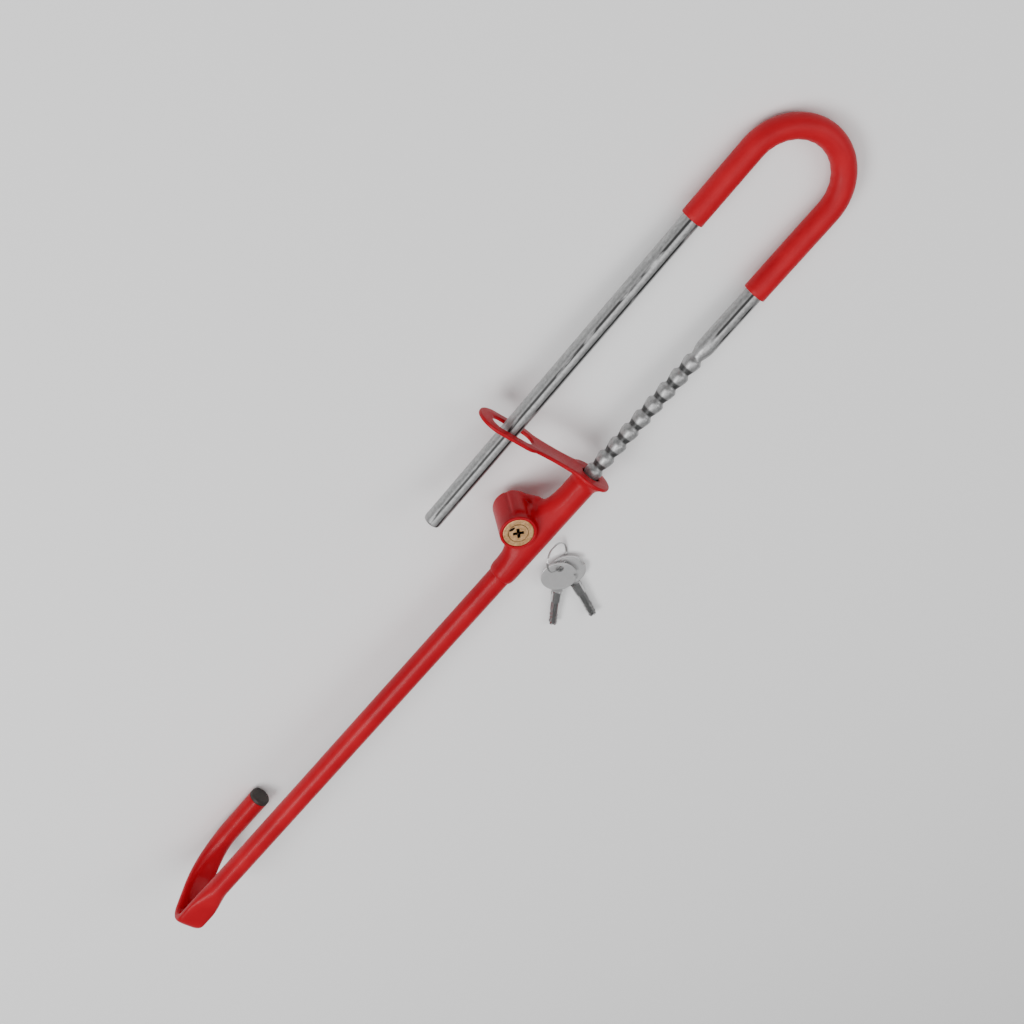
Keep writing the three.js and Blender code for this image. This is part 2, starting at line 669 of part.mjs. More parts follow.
// One stack: the key pin in the plug, the driver pin in the body and the spring behind it.
function pinStack(number, angle, level) {
  const shear = PLUG_RADIUS - GAP;
  const driverFrom = PLUG_RADIUS + 2 * GAP;
  const driverTo = driverFrom + DRIVER_LENGTH;
  const keyPin = turned(
    [
      [0, KEY_PIN_FROM],
      [KEY_PIN_TIP_RADIUS, KEY_PIN_FROM],
      [PIN_RADIUS, KEY_PIN_FROM + KEY_PIN_TAPER],
      [PIN_RADIUS, shear],
      [0, shear],
    ],
    PIN_SIDES,
  );
  const driver = rodAlongZ(PIN_RADIUS, driverFrom, driverTo, PIN_SIDES);
  const coil = helix(
    PIN_RADIUS - 2 * PIN_SPRING_WIRE,
    driverTo + GAP + PIN_SPRING_WIRE,
    BODY_RADIUS - PIN_SPRING_WIRE,
    PIN_SPRING_TURNS,
    PIN_SPRING_STEPS,
  );
  const spring = swept(circle(PIN_SPRING_WIRE, 4), coil);
  return [
    piece("key_pin_" + number, radial(keyPin, angle, level), brass),
    piece("driver_pin_" + number, radial(driver, angle, level), steel),
    piece("driver_spring_" + number, radial(spring, angle, level), steel),
  ];
}

function lockingBolt() {
  const profile = [
    [0, BOLT_TAIL_END],
    [BOLT_TAIL_RADIUS, BOLT_TAIL_END],
    [BOLT_TAIL_RADIUS, BOLT_SHOULDER],
    [BOLT_RADIUS, BOLT_SHOULDER],
    [BOLT_RADIUS, BOLT_NOSE - BOLT_NOSE_TAPER],
    [BOLT_NOSE_TIP_RADIUS, BOLT_NOSE],
    [0, BOLT_NOSE],
  ];
  return piece("locking_bolt", towardsRod(turned(profile, SMALL_SIDES)), steel);
}

function boltSpring() {
  const from = BOLT_LEDGE + GAP + BOLT_SPRING_WIRE;
  const to = BOLT_SHOULDER - GAP - BOLT_SPRING_WIRE;
  const radius = (BOLT_RADIUS + BOLT_TAIL_RADIUS) / 2;
  const coil = helix(radius, from, to, BOLT_SPRING_TURNS, BOLT_SPRING_STEPS);
  const spring = swept(circle(BOLT_SPRING_WIRE, 6), coil);
  return piece("bolt_spring", towardsRod(spring), steel);
}

// ---- Shackle --------------------------------------------------------------------------------------------

// From one leg's end, round the U, to the other leg's end.
function shackleRoute(notchedX, plainX) {
  const radius = LEG_SPACING / 2;
  const stations = [new THREE.Vector3(notchedX, 0, 0)];
  const steps = 18;
  for (let i = 0; i <= steps; i++) {
    const angle = (Math.PI * i) / steps;
    const x = BEND_CENTRE_X + radius * Math.sin(angle);
    stations.push(new THREE.Vector3(x, radius * (1 - Math.cos(angle)), 0));
  }
  stations.push(new THREE.Vector3(plainX, LEG_SPACING, 0));
  return stations;
}

// The notched leg: each notch has a steep side that faces the U and a long taper that faces the rod's end,
// seen from its neck, so that the leg ratchets in and holds against being pulled out.
function notchedLeg(to) {
  const crest = NOTCH_OUTLINE[0][1];
  const profile = [
    [0, NOTCHED_END_X],
    [crest - END_CHAMFER, NOTCHED_END_X],
    [crest, NOTCHED_END_X + END_CHAMFER],
  ];
  for (let i = -NECKS_INSIDE; i < NECKS_OUTSIDE; i++) {
    const neck = FIRST_NECK_X + i * NOTCH_PITCH;
    for (const [offset, radius] of NOTCH_OUTLINE) profile.push([radius, neck + offset]);
  }
  const lastNeck = FIRST_NECK_X + (NECKS_OUTSIDE - 1) * NOTCH_PITCH;
  profile.push([ROD_RADIUS, lastNeck + NOTCH_RUN_OUT]);
  profile.push([ROD_RADIUS, to], [0, to]);
  return alongX(turned(profile, TUBE_SIDES));
}

function shackleRod() {
  const plainFrom = PLAIN_END_X + END_CHAMFER;
  const bow = swept(circle(ROD_RADIUS, TUBE_SIDES), shackleRoute(LEG_SEAM_X - OVERCUT, plainFrom));
  const tip = [
    [0, PLAIN_END_X],
    [ROD_RADIUS - END_CHAMFER, PLAIN_END_X],
    [ROD_RADIUS, plainFrom],
    [ROD_RADIUS, plainFrom + OVERCUT],
    [0, plainFrom + OVERCUT],
  ];
  const plainTip = alongX(turned(tip, TUBE_SIDES)).translate(0, LEG_SPACING, 0);
  return piece("shackle_rod", join(notchedLeg(LEG_SEAM_X), bow, plainTip), zinc);
}

function gripSleeve() {
  const section = circle(SLEEVE_RADIUS, TUBE_SIDES);
  section.holes.push(circle(ROD_RADIUS + GAP, TUBE_SIDES));
  return piece("grip_sleeve", swept(section, shackleRoute(SLEEVE_NOTCHED_X, SLEEVE_PLAIN_X)), redVinyl);
}

// ---- Keys -----------------------------------------------------------------------------------------------

// A key with its blade along +X and its hole's centre at the origin; its head lies in the plane z = 0.
function keyPieces(name) {
  const headCentre = KEY_HEAD_RADIUS - KEY_HOLE_INSET;
  const headEnd = headCentre + KEY_HEAD_RADIUS;
  const tangEnd = headEnd + KEY_TANG_REACH;
  const tip = KEY_LENGTH - KEY_HOLE_INSET;
  const head = rodAlongZ(KEY_HEAD_RADIUS, -KEY_HEAD_THICKNESS / 2, KEY_HEAD_THICKNESS / 2, BARREL_SIDES);
  head.translate(headCentre, 0, 0);
  const tang = new THREE.BoxGeometry(KEY_TANG_LENGTH, KEY_TANG_WIDTH, KEY_HEAD_THICKNESS);
  tang.translate(tangEnd - KEY_TANG_LENGTH / 2, 0, 0);
  const hole = rodAlongZ(KEY_HOLE_RADIUS, -KEY_HEAD_THICKNESS, KEY_HEAD_THICKNESS, SMALL_SIDES);
  const bite = rodAlongZ(KEY_BITE_RADIUS, -KEY_HEAD_THICKNESS, KEY_HEAD_THICKNESS, PIN_SIDES);
  bite.translate(headCentre + KEY_BITE_X, KEY_BITE_Y, 0);
  const plate = cut(join(head, tang), hole, bite);
  const slotLength = 2 * KEY_TANG_LENGTH;
  const slotWidth = KEY_HEAD_THICKNESS + 2 * GAP;
  const slot = new THREE.BoxGeometry(slotLength, 2 * (KEY_COLLAR_RADIUS + OVERCUT), slotWidth);
  slot.translate(tangEnd + GAP - slotLength / 2, 0, 0);
  const blade = cut(alongX(keyBlade(headEnd - KEY_COLLAR_LAP, tip)), slot);
  return [piece(name + "_head", plate, nickel), piece(name + "_blade", blade, nickel)];
}

// The collar and the cross-shaped blade, along Z.
function keyBlade(from, tip) {
  const to = from + KEY_COLLAR_LENGTH;
  const collar = turned(
    [
      [0, from],
      [KEY_COLLAR_RADIUS - KEY_COLLAR_CHAMFER, from],
      [KEY_COLLAR_RADIUS, from + KEY_COLLAR_CHAMFER],
      [KEY_COLLAR_RADIUS, to - KEY_COLLAR_CHAMFER],
      [KEY_COLLAR_RADIUS - KEY_COLLAR_CHAMFER, to],
      [0, to],
    ],
    SMALL_SIDES,
  );
  const arms = crossBars(KEY_BLADE_HALF_SPAN, KEY_BLADE_WIDTH, from + KEY_BLADE_ROOT, tip);
  return cut(join(collar, arms), ...bladeCuts(to, tip));
}

// Notches in the four edges of the cross, and its bevelled tip.
function bladeCuts(from, tip) {
  const cuts = [];
  for (let row = 0; row < PIN_ROWS; row++) {
    const angle = Math.PI / 4 + (row * 2 * Math.PI) / PIN_ROWS;
    for (const share of BITTING_SHARES[row]) {
      const reach = 2 * KEY_BLADE_WIDTH;
      const bar = new THREE.CylinderGeometry(BITTING_RADIUS, BITTING_RADIUS, reach, PIN_SIDES);
      const out = KEY_BLADE_HALF_SPAN + BITTING_RADIUS - BITTING_DEPTH;
      cuts.push(bar.translate(out, 0, THREE.MathUtils.lerp(from, tip, share)).rotateZ(angle));
    }
    const block = new THREE.BoxGeometry(TIP_BLOCK, TIP_BLOCK, 2 * TIP_BLOCK).rotateY(-TIP_BEVEL);
    cuts.push(block.translate(KEY_BLADE_HALF_SPAN + TIP_BLOCK_OFFSET, 0, tip).rotateZ(angle));
  }
  return cuts;
}

// A point of the leaning ring: angle 0 is its side nearest the keys, and it climbs from there.
function ringPoint(angle, centreZ) {
  const away = new THREE.Vector3(Math.cos(KEY_AWAY), Math.sin(KEY_AWAY), 0);
  const climb = new THREE.Vector3(Math.sin(KEY_AWAY), -Math.cos(KEY_AWAY), 0);
  climb.multiplyScalar(Math.cos(RING_LEAN)).add(new THREE.Vector3(0, 0, Math.sin(RING_LEAN)));
  return new THREE.Vector3(...RING_CENTRE, centreZ)
    .addScaledVector(away, RING_RADIUS * Math.cos(angle))
    .addScaledVector(climb, RING_RADIUS * Math.sin(angle));
}

function keySet() {
  const group = new THREE.Group();
  const centreZ = RING_WIRE + RING_RADIUS * Math.sin(RING_LEAN);
  const ring = new THREE.TorusGeometry(RING_RADIUS, RING_WIRE, 8, 36);
  const away = ringPoint(0, 0).sub(ringPoint(Math.PI, 0)).normalize();
  const climb = ringPoint(Math.PI / 2, 0).sub(ringPoint(-Math.PI / 2, 0)).normalize();
  const basis = new THREE.Matrix4().makeBasis(away, climb, away.clone().cross(climb));
  ring.applyMatrix4(basis).translate(...RING_CENTRE, centreZ);
  group.add(piece("split_ring", ring, nickel));
  const headDrop = (2 * KEY_HEAD_RADIUS - KEY_HOLE_INSET) * Math.sin(KEY_B_PITCH);
  const upperHead = KEY_COLLAR_RADIUS + KEY_HEAD_THICKNESS + GAP + headDrop;
  const headHeights = { key_a: KEY_COLLAR_RADIUS, key_b: upperHead };
  const headings = { key_a: KEY_A_HEADING, key_b: KEY_B_HEADING };
  const pitches = { key_a: 0, key_b: KEY_B_PITCH };
  for (const name of ["key_a", "key_b"]) {
    const height = headHeights[name];
    const crossing = Math.asin((height - centreZ) / (RING_RADIUS * Math.sin(RING_LEAN)));
    const at = ringPoint(crossing, centreZ);
    const key = new THREE.Group();
    key.position.copy(at);
    key.rotation.set(0, pitches[name], headings[name], "ZYX");
    key.add(...keyPieces(name));
    group.add(key);
  }
  return group;
}

// ---- Assembly -------------------------------------------------------------------------------------------

// The lock leans so that the arm's end and the crown of the U both touch the floor.
const crownX = BEND_CENTRE_X + LEG_SPACING / 2;
const armTipX = ARM_END_X + GAP + CAP_HEAD - CAP_ROUNDING;
const lowPointX = crownX - armTipX;
const REST_LEAN = Math.atan2(TUBE_RADIUS - ARM_Z - SLEEVE_RADIUS, lowPointX);

const lock = new THREE.Group();
lock.rotation.y = REST_LEAN;
lock.position.z = crownX * Math.sin(REST_LEAN) + SLEEVE_RADIUS;
lock.add(lowerTube(), hookCap(), housingTube(), guidePlate(), lockBarrel(), barrelParts());
lock.add(shackleRod(), gripSleeve());

// The origin is on the floor, under the middle of everything's box.
const keys = keySet();
const group = new THREE.Group();
group.add(lock, keys);
const middle = new THREE.Box3().setFromObject(group, true).getCenter(new THREE.Vector3()).setZ(0);
lock.position.sub(middle);
keys.position.sub(middle);

export default group;
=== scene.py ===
"""A steering wheel lock and its keys on a pale studio floor: fine meshes and materials round the CAD frame.

Shapes are drawn in the lock's own frame, in millimetres: +X along the tube towards the U, +Y towards the
shackle's plain leg, +Z out of the lock's brass face, with x = 0 just outside the tube's mouth and
y = z = 0 on the tube's axis. LOCK turns that frame into the row's frame, in metres.
"""
import json
import math

import bmesh
import bpy
import numpy as np
from mathutils import Matrix, Vector


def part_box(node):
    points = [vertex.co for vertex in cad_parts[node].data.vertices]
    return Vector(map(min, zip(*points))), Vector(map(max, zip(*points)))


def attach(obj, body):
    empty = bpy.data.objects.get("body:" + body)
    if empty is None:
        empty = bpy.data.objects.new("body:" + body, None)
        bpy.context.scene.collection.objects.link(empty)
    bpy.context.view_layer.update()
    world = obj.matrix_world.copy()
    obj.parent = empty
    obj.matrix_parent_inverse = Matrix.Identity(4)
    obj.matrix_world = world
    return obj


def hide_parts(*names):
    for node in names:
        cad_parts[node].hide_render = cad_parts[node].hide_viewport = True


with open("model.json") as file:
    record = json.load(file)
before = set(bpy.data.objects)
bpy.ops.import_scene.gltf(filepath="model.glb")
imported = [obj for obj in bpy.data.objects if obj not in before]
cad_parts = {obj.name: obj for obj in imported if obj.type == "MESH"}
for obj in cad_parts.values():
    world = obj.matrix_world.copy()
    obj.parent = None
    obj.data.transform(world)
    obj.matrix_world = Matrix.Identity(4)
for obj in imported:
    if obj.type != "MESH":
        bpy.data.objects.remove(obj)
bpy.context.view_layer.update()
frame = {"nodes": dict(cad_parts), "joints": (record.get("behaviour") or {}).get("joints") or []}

MM = 0.001

# Tube, hook and cap
TUBE_RADIUS = 8
TUBE_BORE = 6.5
TUBE_MOUTH_X = -0.5
BORE_DEPTH_X = -225
BEND_START_X = -440
FLATTEN_TO_X = -468
STRAP_Z = 3.2
FOLD_X = -478
FOLD_RADIUS = 8.5
FOLD_ANGLE = math.radians(128)
ARM_Z = -47
ARM_BEND_RADIUS = 60
ARM_END_X = -386.7
ROUND_AGAIN_X = -436
STRAP_HALF_WIDTH = 10.7
STRAP_HALF_THICKNESS = 3.6
STRAP_DENT = 0.5
STRAP_EDGE_TIGHTNESS = 0.42  # how much squarer than round the pressed tube's edges are
CAP_HEAD = 4.2
CAP_SPIGOT = 9
CAP_SPIGOT_RADIUS = 6.2
CAP_ROUNDING = 2.2
CAP_DOME = 0.5

# Housing tube, barrel, web and guide plate
HOUSING_RADIUS = 9.6
HOUSING_END_X = -93
HOUSING_END_NARROWING = 0.9
HOUSING_END_LENGTH = 5  # that the narrowing takes
BARREL_X = -54
BARREL_Y = 18.4
BARREL_RADIUS = 12.5
BARREL_FRONT = 13.5
BARREL_BACK = -20.5
BARREL_BORE = 10.45
BOLT_HOLE_RADIUS = 3.6  # the passage from the barrel's bore to the tube
BARREL_EDGE = 1.0
REAR_CAP_THICKNESS = 3
REAR_CAP_RADIUS = 10.25
LOBE_X = 6.06  # the barrel's second, smaller lobe, from the barrel's axis
LOBE_Y = 3.53
LOBE_RADIUS = 7
LOBE_TOP = 10.5
LOBE_TOP_SLOPE = 0.45
LOBE_EDGE = 3.5
WEB_FRONT_X = -12
WEB_TOP_FRONT_X = -42
WEB_TOP_BACK_X = -62
WEB_BACK_X = -89
WEB_HALF_THICKNESS = 9.2
WEB_END_HALF_THICKNESS = 7.8
WEB_END_SINK = 1.5  # how far its ends lie inside the housing
WEB_FRONT_CURVE = 1.7  # the higher, the later it rises
WEB_BACK_CURVE = 1.6
GUSSET_START = (-42.5, 18.8, -17)
GUSSET_ALONG = (6.9, -5.2, 9.5)
GUSSET_RADIUS = 2.6
WELD_FROM_X = -6
WELD_HEIGHT = 3.2
WELD_CURVE = 1.8  # the higher, the more of its rise is at the plate
TUBE_CLEARANCE = 0.08
# Fillets where each shape joins the ones before it
WEB_FILLET = 1.5
GUSSET_FILLET = 6.0
BARREL_FILLET = 3.0
LOBE_FILLET = 1.6
WELDMENT_STEP = 0.42  # of the grid that the weldment is sampled on
# Dents where the web meets the barrel, and the valley between the barrel and its lobe:
# place, half length along the barrel, width and depth
DENTS = (
    (-40.3, 18.8, 6, 5, 1.1, 0.8),
    (-37.2, 15.6, 5, 5, 1.1, 0.9),
    (-46.8, 28.7, -9, 15, 1.2, 0.9),
)
PLATE_THICKNESS = 2.5
PLATE_FACE_X = 2.9
PLATE_TILT = math.radians(2.7)
PLATE_LOBE_RADIUS = 15.3
PLATE_NECK_HALF_WIDTH = 9.3
PLATE_NECK_PINCH = 1.4
PLATE_NECK_FLARE = 1.2
PLATE_EDGE = 0.9
PLATE_HOLE_RADIUS = 6.6
EYE_INNER_Y = 55
EYE_OUTER_Y = 75.9
EYE_RADIUS = 13.9
SLOT_INNER_Y = 55
SLOT_OUTER_Y = 72.8
SLOT_HALF_WIDTH = 7

# Shackle and sleeve
ROD_RADIUS = 6
LEG_SPACING = 65.5
BEND_CENTRE_X = 223
NOTCHED_END_X = -46
PLAIN_END_X = -85
NOTCH_PITCH = 12
FIRST_NECK_X = 10.4
NECKS_INSIDE = 4
NECKS_OUTSIDE = 9
LAST_NECK_X = FIRST_NECK_X + (NECKS_OUTSIDE - 1) * NOTCH_PITCH
PLAIN_FROM_X = LAST_NECK_X + NOTCH_PITCH
NECK_RADIUS = 4.15
NOTCH_START = -3.4  # where a crest starts to fall, from its neck
CONE_END = 3.8  # from a neck
CONE_RADIUS = 5.25
CREST_RADIUS = 5.95
# How far each painted dark reflection line lies to the side of the bar's middle.
REFLECTION_LINE_ACROSS = 2.7
SLEEVE_RADIUS = 7.8
SLEEVE_BORE = 6.12
SLEEVE_LIP = 0.35
SLEEVE_BORE_DEPTH = 8
SLEEVE_NOTCHED_X = 158.8
SLEEVE_PLAIN_X = 170.8
BUNCHING_DEPTH = 0.10
CREASE_DEPTH = 0.28
CREASE_PLACE = (2.15, 1.35)  # round the bend and round the vinyl, in radians
CREASE_WIDTH = 0.16

# Brass cylinder: radii from the barrel's axis
BODY_RADIUS = 10.3
BODY_BACK = -12
FACE_Z = 13.2
FACE_RING_RADIUS = 8.4  # of the turned ring on the face
RETAINING_PIN_Z = -8
RETAINING_PIN_BORE = 1.7
BOLT_BORE = 3.2
BOLT_TAIL_BORE = 1.4
PLUG_RADIUS = 5.8
PLUG_FLANGE_RADIUS = 6.6
PLUG_FLANGE_DEPTH = 1.5
PLUG_BACK = -15
PLUG_TAIL_RADIUS = 5
PLUG_GROOVE_RADIUS = 4.3
CLIP_GROOVE = 1.6
RECESS_RADIUS = 2.6  # of the plug's recess for the bolt's tail
RECESS_HALF_HEIGHT = 1.7
RECESS_Y = -5.4
KEYWAY_HALF_SPAN = 3.7
KEYWAY_WIDTH = 2.1
KEYWAY_FLOOR_Z = -10
INDEX_MARK_HALF_LENGTH = 2.1
INDEX_MARK_HALF_WIDTH = 0.9
INDEX_MARK_Y = 5.3
INDEX_MARK_DEGREES = -14
INDEX_MARK_DEPTH = 1.2
PIN_RADIUS = 1.1
PIN_LEVELS = (8.2, 3.8)
PIN_ROWS = 4

# Keys and ring
KEY_LENGTH = 60
KEY_HEAD_RADIUS = 13
KEY_HEAD_THICKNESS = 1.5
KEY_LINE_RADIUS = 11.3  # of the coined line on the head
KEY_HOLE_RADIUS = 3
KEY_HOLE_INSET = 5.2
KEY_COLLAR_RADIUS = 4.2
KEY_COLLAR_LENGTH = 12
KEY_TANG = 6  # the head's square tang, in the collar's slot
KEY_SLOT_DEPTH = 4.2  # from the disc's edge into the collar
KEY_BITE_RADIUS = 2
KEY_SMALL_BITE_RADIUS = 1.3
KEY_SCOOP_RADIUS = 2.1  # of the scoops in the collar's end
KEY_BLADE_HALF_SPAN = 3.3
KEY_BLADE_WIDTH = 1.7
NOTCH_CUT_RADIUS = 1.3
# Where the round notches lie along each edge of the blade, as shares of its length
BITTING = ((0.45, 0.70, 0.84), (0.51, 0.65, 0.80), (0.45, 0.60, 0.86), (0.51, 0.70, 0.82))
RING_RADIUS = 11
RING_WIRE = 0.9
RING_LEAN = math.radians(45)
RING_TURNS = 2
RING_START = math.radians(162)
KEY_AWAY = math.radians(226)
KEY_HEADINGS = {"key_a": math.radians(244), "key_b": math.radians(216)}
KEY_PITCHES = {"key_a": 0.0, "key_b": math.radians(4.4)}

# Camera, in the lock's frame
CAMERA_PLACE = Vector((254.3, 421.9, 734.2))
CAMERA_AIM = Vector((-48.9, 25.4, 0))
CAMERA_TOP = Vector((0.704, 0.462, -0.540))  # the way the top of the picture points
LENS_MM = 47.3
SENSOR_MM = 36

# Studio, in metres and watts
FLOOR_HALF = 4.0
SOFTBOXES = (
    ("key_softbox", (-0.9, 0.9, 1.6), (1.2, 0.8), 30),
    ("fill_softbox", (1.3, -0.5, 1.3), (1.0, 1.0), 10),
    ("top_softbox", (0.1, 0.1, 2.2), (1.6, 1.6), 20),
)
WORLD_STRENGTH = 0.22


# ---- The lock's frame

JOINTS = {joint["name"]: joint for joint in frame["joints"]}


def lock_matrix():
    """The lock's frame in the row's frame, from the axes of the shackle's slide and the plug's turn."""
    along = Vector(JOINTS["shackle_slide"]["axis"]).normalized()
    out = Vector(JOINTS["plug_turn"]["axis"]).normalized()
    side = out.cross(along)
    barrel = Vector(JOINTS["plug_turn"]["pos_m"])
    origin = barrel - MM * (BARREL_X * along + BARREL_Y * side)
    turn = Matrix((along, side, out)).transposed().to_4x4()
    return Matrix.Translation(origin) @ turn @ Matrix.Scale(MM, 4)


LOCK = lock_matrix()
BARREL = LOCK @ Matrix.Translation((BARREL_X, BARREL_Y, 0))


def ring_matrix():
    low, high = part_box("split_ring")
    return Matrix.Translation((low + high) / 2) @ Matrix.Scale(MM, 4)


def key_matrix(name):
    place = Matrix.Translation(Vector(JOINTS[name + "_swing"]["pos_m"]))
    heading = Matrix.Rotation(KEY_HEADINGS[name], 4, "Z")
    pitch = Matrix.Rotation(KEY_PITCHES[name], 4, "Y")
    return place @ heading @ pitch @ Matrix.Scale(MM, 4)


# ---- Mesh helpers

def smoothstep(low, high, value):
    share = min(max((value - low) / (high - low), 0.0), 1.0)
    return share * share * (3 - 2 * share)


def mesh_object(name, points, faces, sharp=40, laid=None):
    """An object in millimetres. laid gives each point's place on the piece as if it were straightened."""
    mesh = bpy.data.meshes.new(name)
    mesh.from_pydata([tuple(p) for p in points], [], faces)
    if laid is not None:
        attribute = mesh.attributes.new("laid", "FLOAT_VECTOR", "POINT")
        attribute.data.foreach_set("vector", np.array(laid, np.float32).ravel())
    mesh.validate()
    finish_shading(mesh, sharp)
    return linked(name, mesh)


def linked(name, data):
    """A new object in the scene."""
    made = bpy.data.objects.new(name, data)
    bpy.context.scene.collection.objects.link(made)
    return made


def turned(degrees, axis):
    return Matrix.Rotation(math.radians(degrees), 4, axis)


def moved(piece, *matrices):
    """The piece, with its mesh transformed by each matrix in turn."""
    for matrix in matrices:
        piece.data.transform(matrix)
    return piece


def shift(x, y, z):
    return Matrix.Translation((x, y, z))


def evenly(start, end, steps, first=0):
    """Even places from start to end, in that many steps, from the step numbered first."""
    return [start + (end - start) * i / steps for i in range(first, steps + 1)]


def finish_shading(mesh, sharp):
    bm = bmesh.new()
    bm.from_mesh(mesh)
    bmesh.ops.recalc_face_normals(bm, faces=bm.faces)
    bm.to_mesh(mesh)
    bm.free()
    mesh.shade_smooth()
    mesh.set_sharp_from_angle(angle=math.radians(sharp))


def skin(rings):
    """Points and faces of a closed surface over rings of equal length, with a face over each end."""
    count = len(rings[0])
    points = [p for ring in rings for p in ring]
    faces = [tuple(reversed(range(count)))]
    for i in range(len(rings) - 1):
        faces += band(i * count, (i + 1) * count, count)
    last = (len(rings) - 1) * count
    faces.append(tuple(range(last, last + count)))
    return points, faces


def band(first, second, count):
    """Quads between two rings of that many points, from the index of each ring's first point."""
    quads = []
    for j in range(count):
        k = (j + 1) % count
        quads.append((first + j, first + k, second + k, second + j))
    return quads


def circle(radius, sides):
    angles = [2 * math.pi * j / sides for j in range(sides)]
    return [(radius * math.cos(a), radius * math.sin(a)) for a in angles]


def lathe(name, profile, sides=64, sharp=40):
    """A solid of revolution about Z from (radius, z) points."""
    rings = []
    laid = []
    for radius, z in profile:
        rings.append([(x, y, z) for x, y in circle(radius, sides)])
        laid.extend((z, x, y) for x, y, _ in rings[-1])
    points, faces = skin(rings)
    return mesh_object(name, points, faces, sharp, laid)


def drill(radius, reach, sides=64):
    """A round tool about Z that reaches as far each way."""
    return lathe("drill", [(radius, -reach), (radius, reach)], sides)


def sweep(name, stations, section, sides, sharp=40):
    """A skin over (centre, along, side) stations. section(i, angle) gives the offsets to the side and up."""
    rings = []
    laid = []
    travelled = 0.0
    for i, (centre, along, side) in enumerate(stations):
        if i:
            travelled += (centre - stations[i - 1][0]).length
        up = side.cross(along)
        ring = []
        for j in range(sides):
            angle = 2 * math.pi * j / sides
            across, raised = section(i, angle)
            ring.append(centre + side * across + up * raised)
            laid.append((travelled, across, raised))
        rings.append(ring)
    points, faces = skin(rings)
    return mesh_object(name, points, faces, sharp, laid)


def carve(piece, *tools):
    """Cuts the tools out of the piece and removes them."""
    return combine(piece, tools, "DIFFERENCE")


def add_to(piece, *others):
    """Joins the others to the piece and removes them."""
    return combine(piece, others, "UNION")


def combine(piece, tools, operation):
    for tool in tools:
        modifier = piece.modifiers.new("combine", "BOOLEAN")
        modifier.operation = operation
        modifier.solver = "EXACT"
        modifier.object = tool
    apply_modifiers(piece)
    for tool in tools:
        bpy.data.objects.remove(tool)
    return piece


def apply_modifiers(piece):
    mesh = shown_mesh(piece)
    piece.modifiers.clear()
    piece.data = mesh


def shown_mesh(piece):
    """The piece as a plain mesh, with its modifiers or its curve's settings applied."""
    bpy.context.view_layer.update()
    shown = piece.evaluated_get(bpy.context.evaluated_depsgraph_get())
    return bpy.data.meshes.new_from_object(shown)


def settle(piece, matrix, material, body, slot, *nodes, sharp=None):
    """Puts a finished piece where it belongs, gives it its material and body, and hides the CAD nodes it
    stands in for. The slot is not used.
    """
    piece.data.transform(matrix)
    if sharp is not None:
        finish_shading(piece.data, sharp)
    piece.data.materials.clear()
    piece.data.materials.append(material)
    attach(piece, body)
    if nodes:
        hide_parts(*nodes)
    return piece


def surface_nets(field, low, step):
    """Points and quads where a sampled field is zero. The field is negative inside."""
    cells = np.array(field.shape) - 1
    total = np.zeros((*cells, 3))
    count = np.zeros(cells)
    crossings = []
    base = np.stack(np.meshgrid(*[np.arange(n) for n in field.shape], indexing="ij"), -1).astype(float)
    for axis in range(3):
        start = [slice(None)] * 3
        end = [slice(None)] * 3
        start[axis] = slice(0, -1)
        end[axis] = slice(1, None)
        first = field[tuple(start)]
        second = field[tuple(end)]
        cross = (first < 0) != (second < 0)
        share = np.where(cross, first / np.where(cross, first - second, 1), 0)
        point = base[tuple(start)].copy()
        point[..., axis] += share
        crossings.append((axis, cross, first < 0))
        others = [a for a in range(3) if a != axis]
        for first_step in (0, 1):
            for second_step in (0, 1):
                source = [slice(None)] * 3
                for other, begin in zip(others, (first_step, second_step)):
                    source[other] = slice(begin, begin + cells[other])
                hit = cross[tuple(source)]
                total += np.where(hit[..., None], point[tuple(source)], 0)
                count += hit
    used = count > 0
    index = np.full(cells, -1)
    index[used] = np.arange(used.sum())
    points = np.array(low) + step * total[used] / count[used][:, None]
    faces = []
    for axis, cross, inward in crossings:
        u, v = [a for a in range(3) if a != axis]
        at = np.argwhere(cross)
        at = at[(at[:, u] > 0) & (at[:, v] > 0) & (at[:, u] < cells[u]) & (at[:, v] < cells[v])]
        corners = []
        for du, dv in ((-1, -1), (0, -1), (0, 0), (-1, 0)):
            cell = at.copy()
            cell[:, u] += du
            cell[:, v] += dv
            corners.append(index[tuple(cell.T)])
        quads = np.stack(corners, 1)
        flip = inward[tuple(at.T)] == (axis == 1)
        quads[flip] = quads[flip][:, ::-1]
        faces.extend(map(tuple, quads.tolist()))
    return points, faces


# ---- Materials

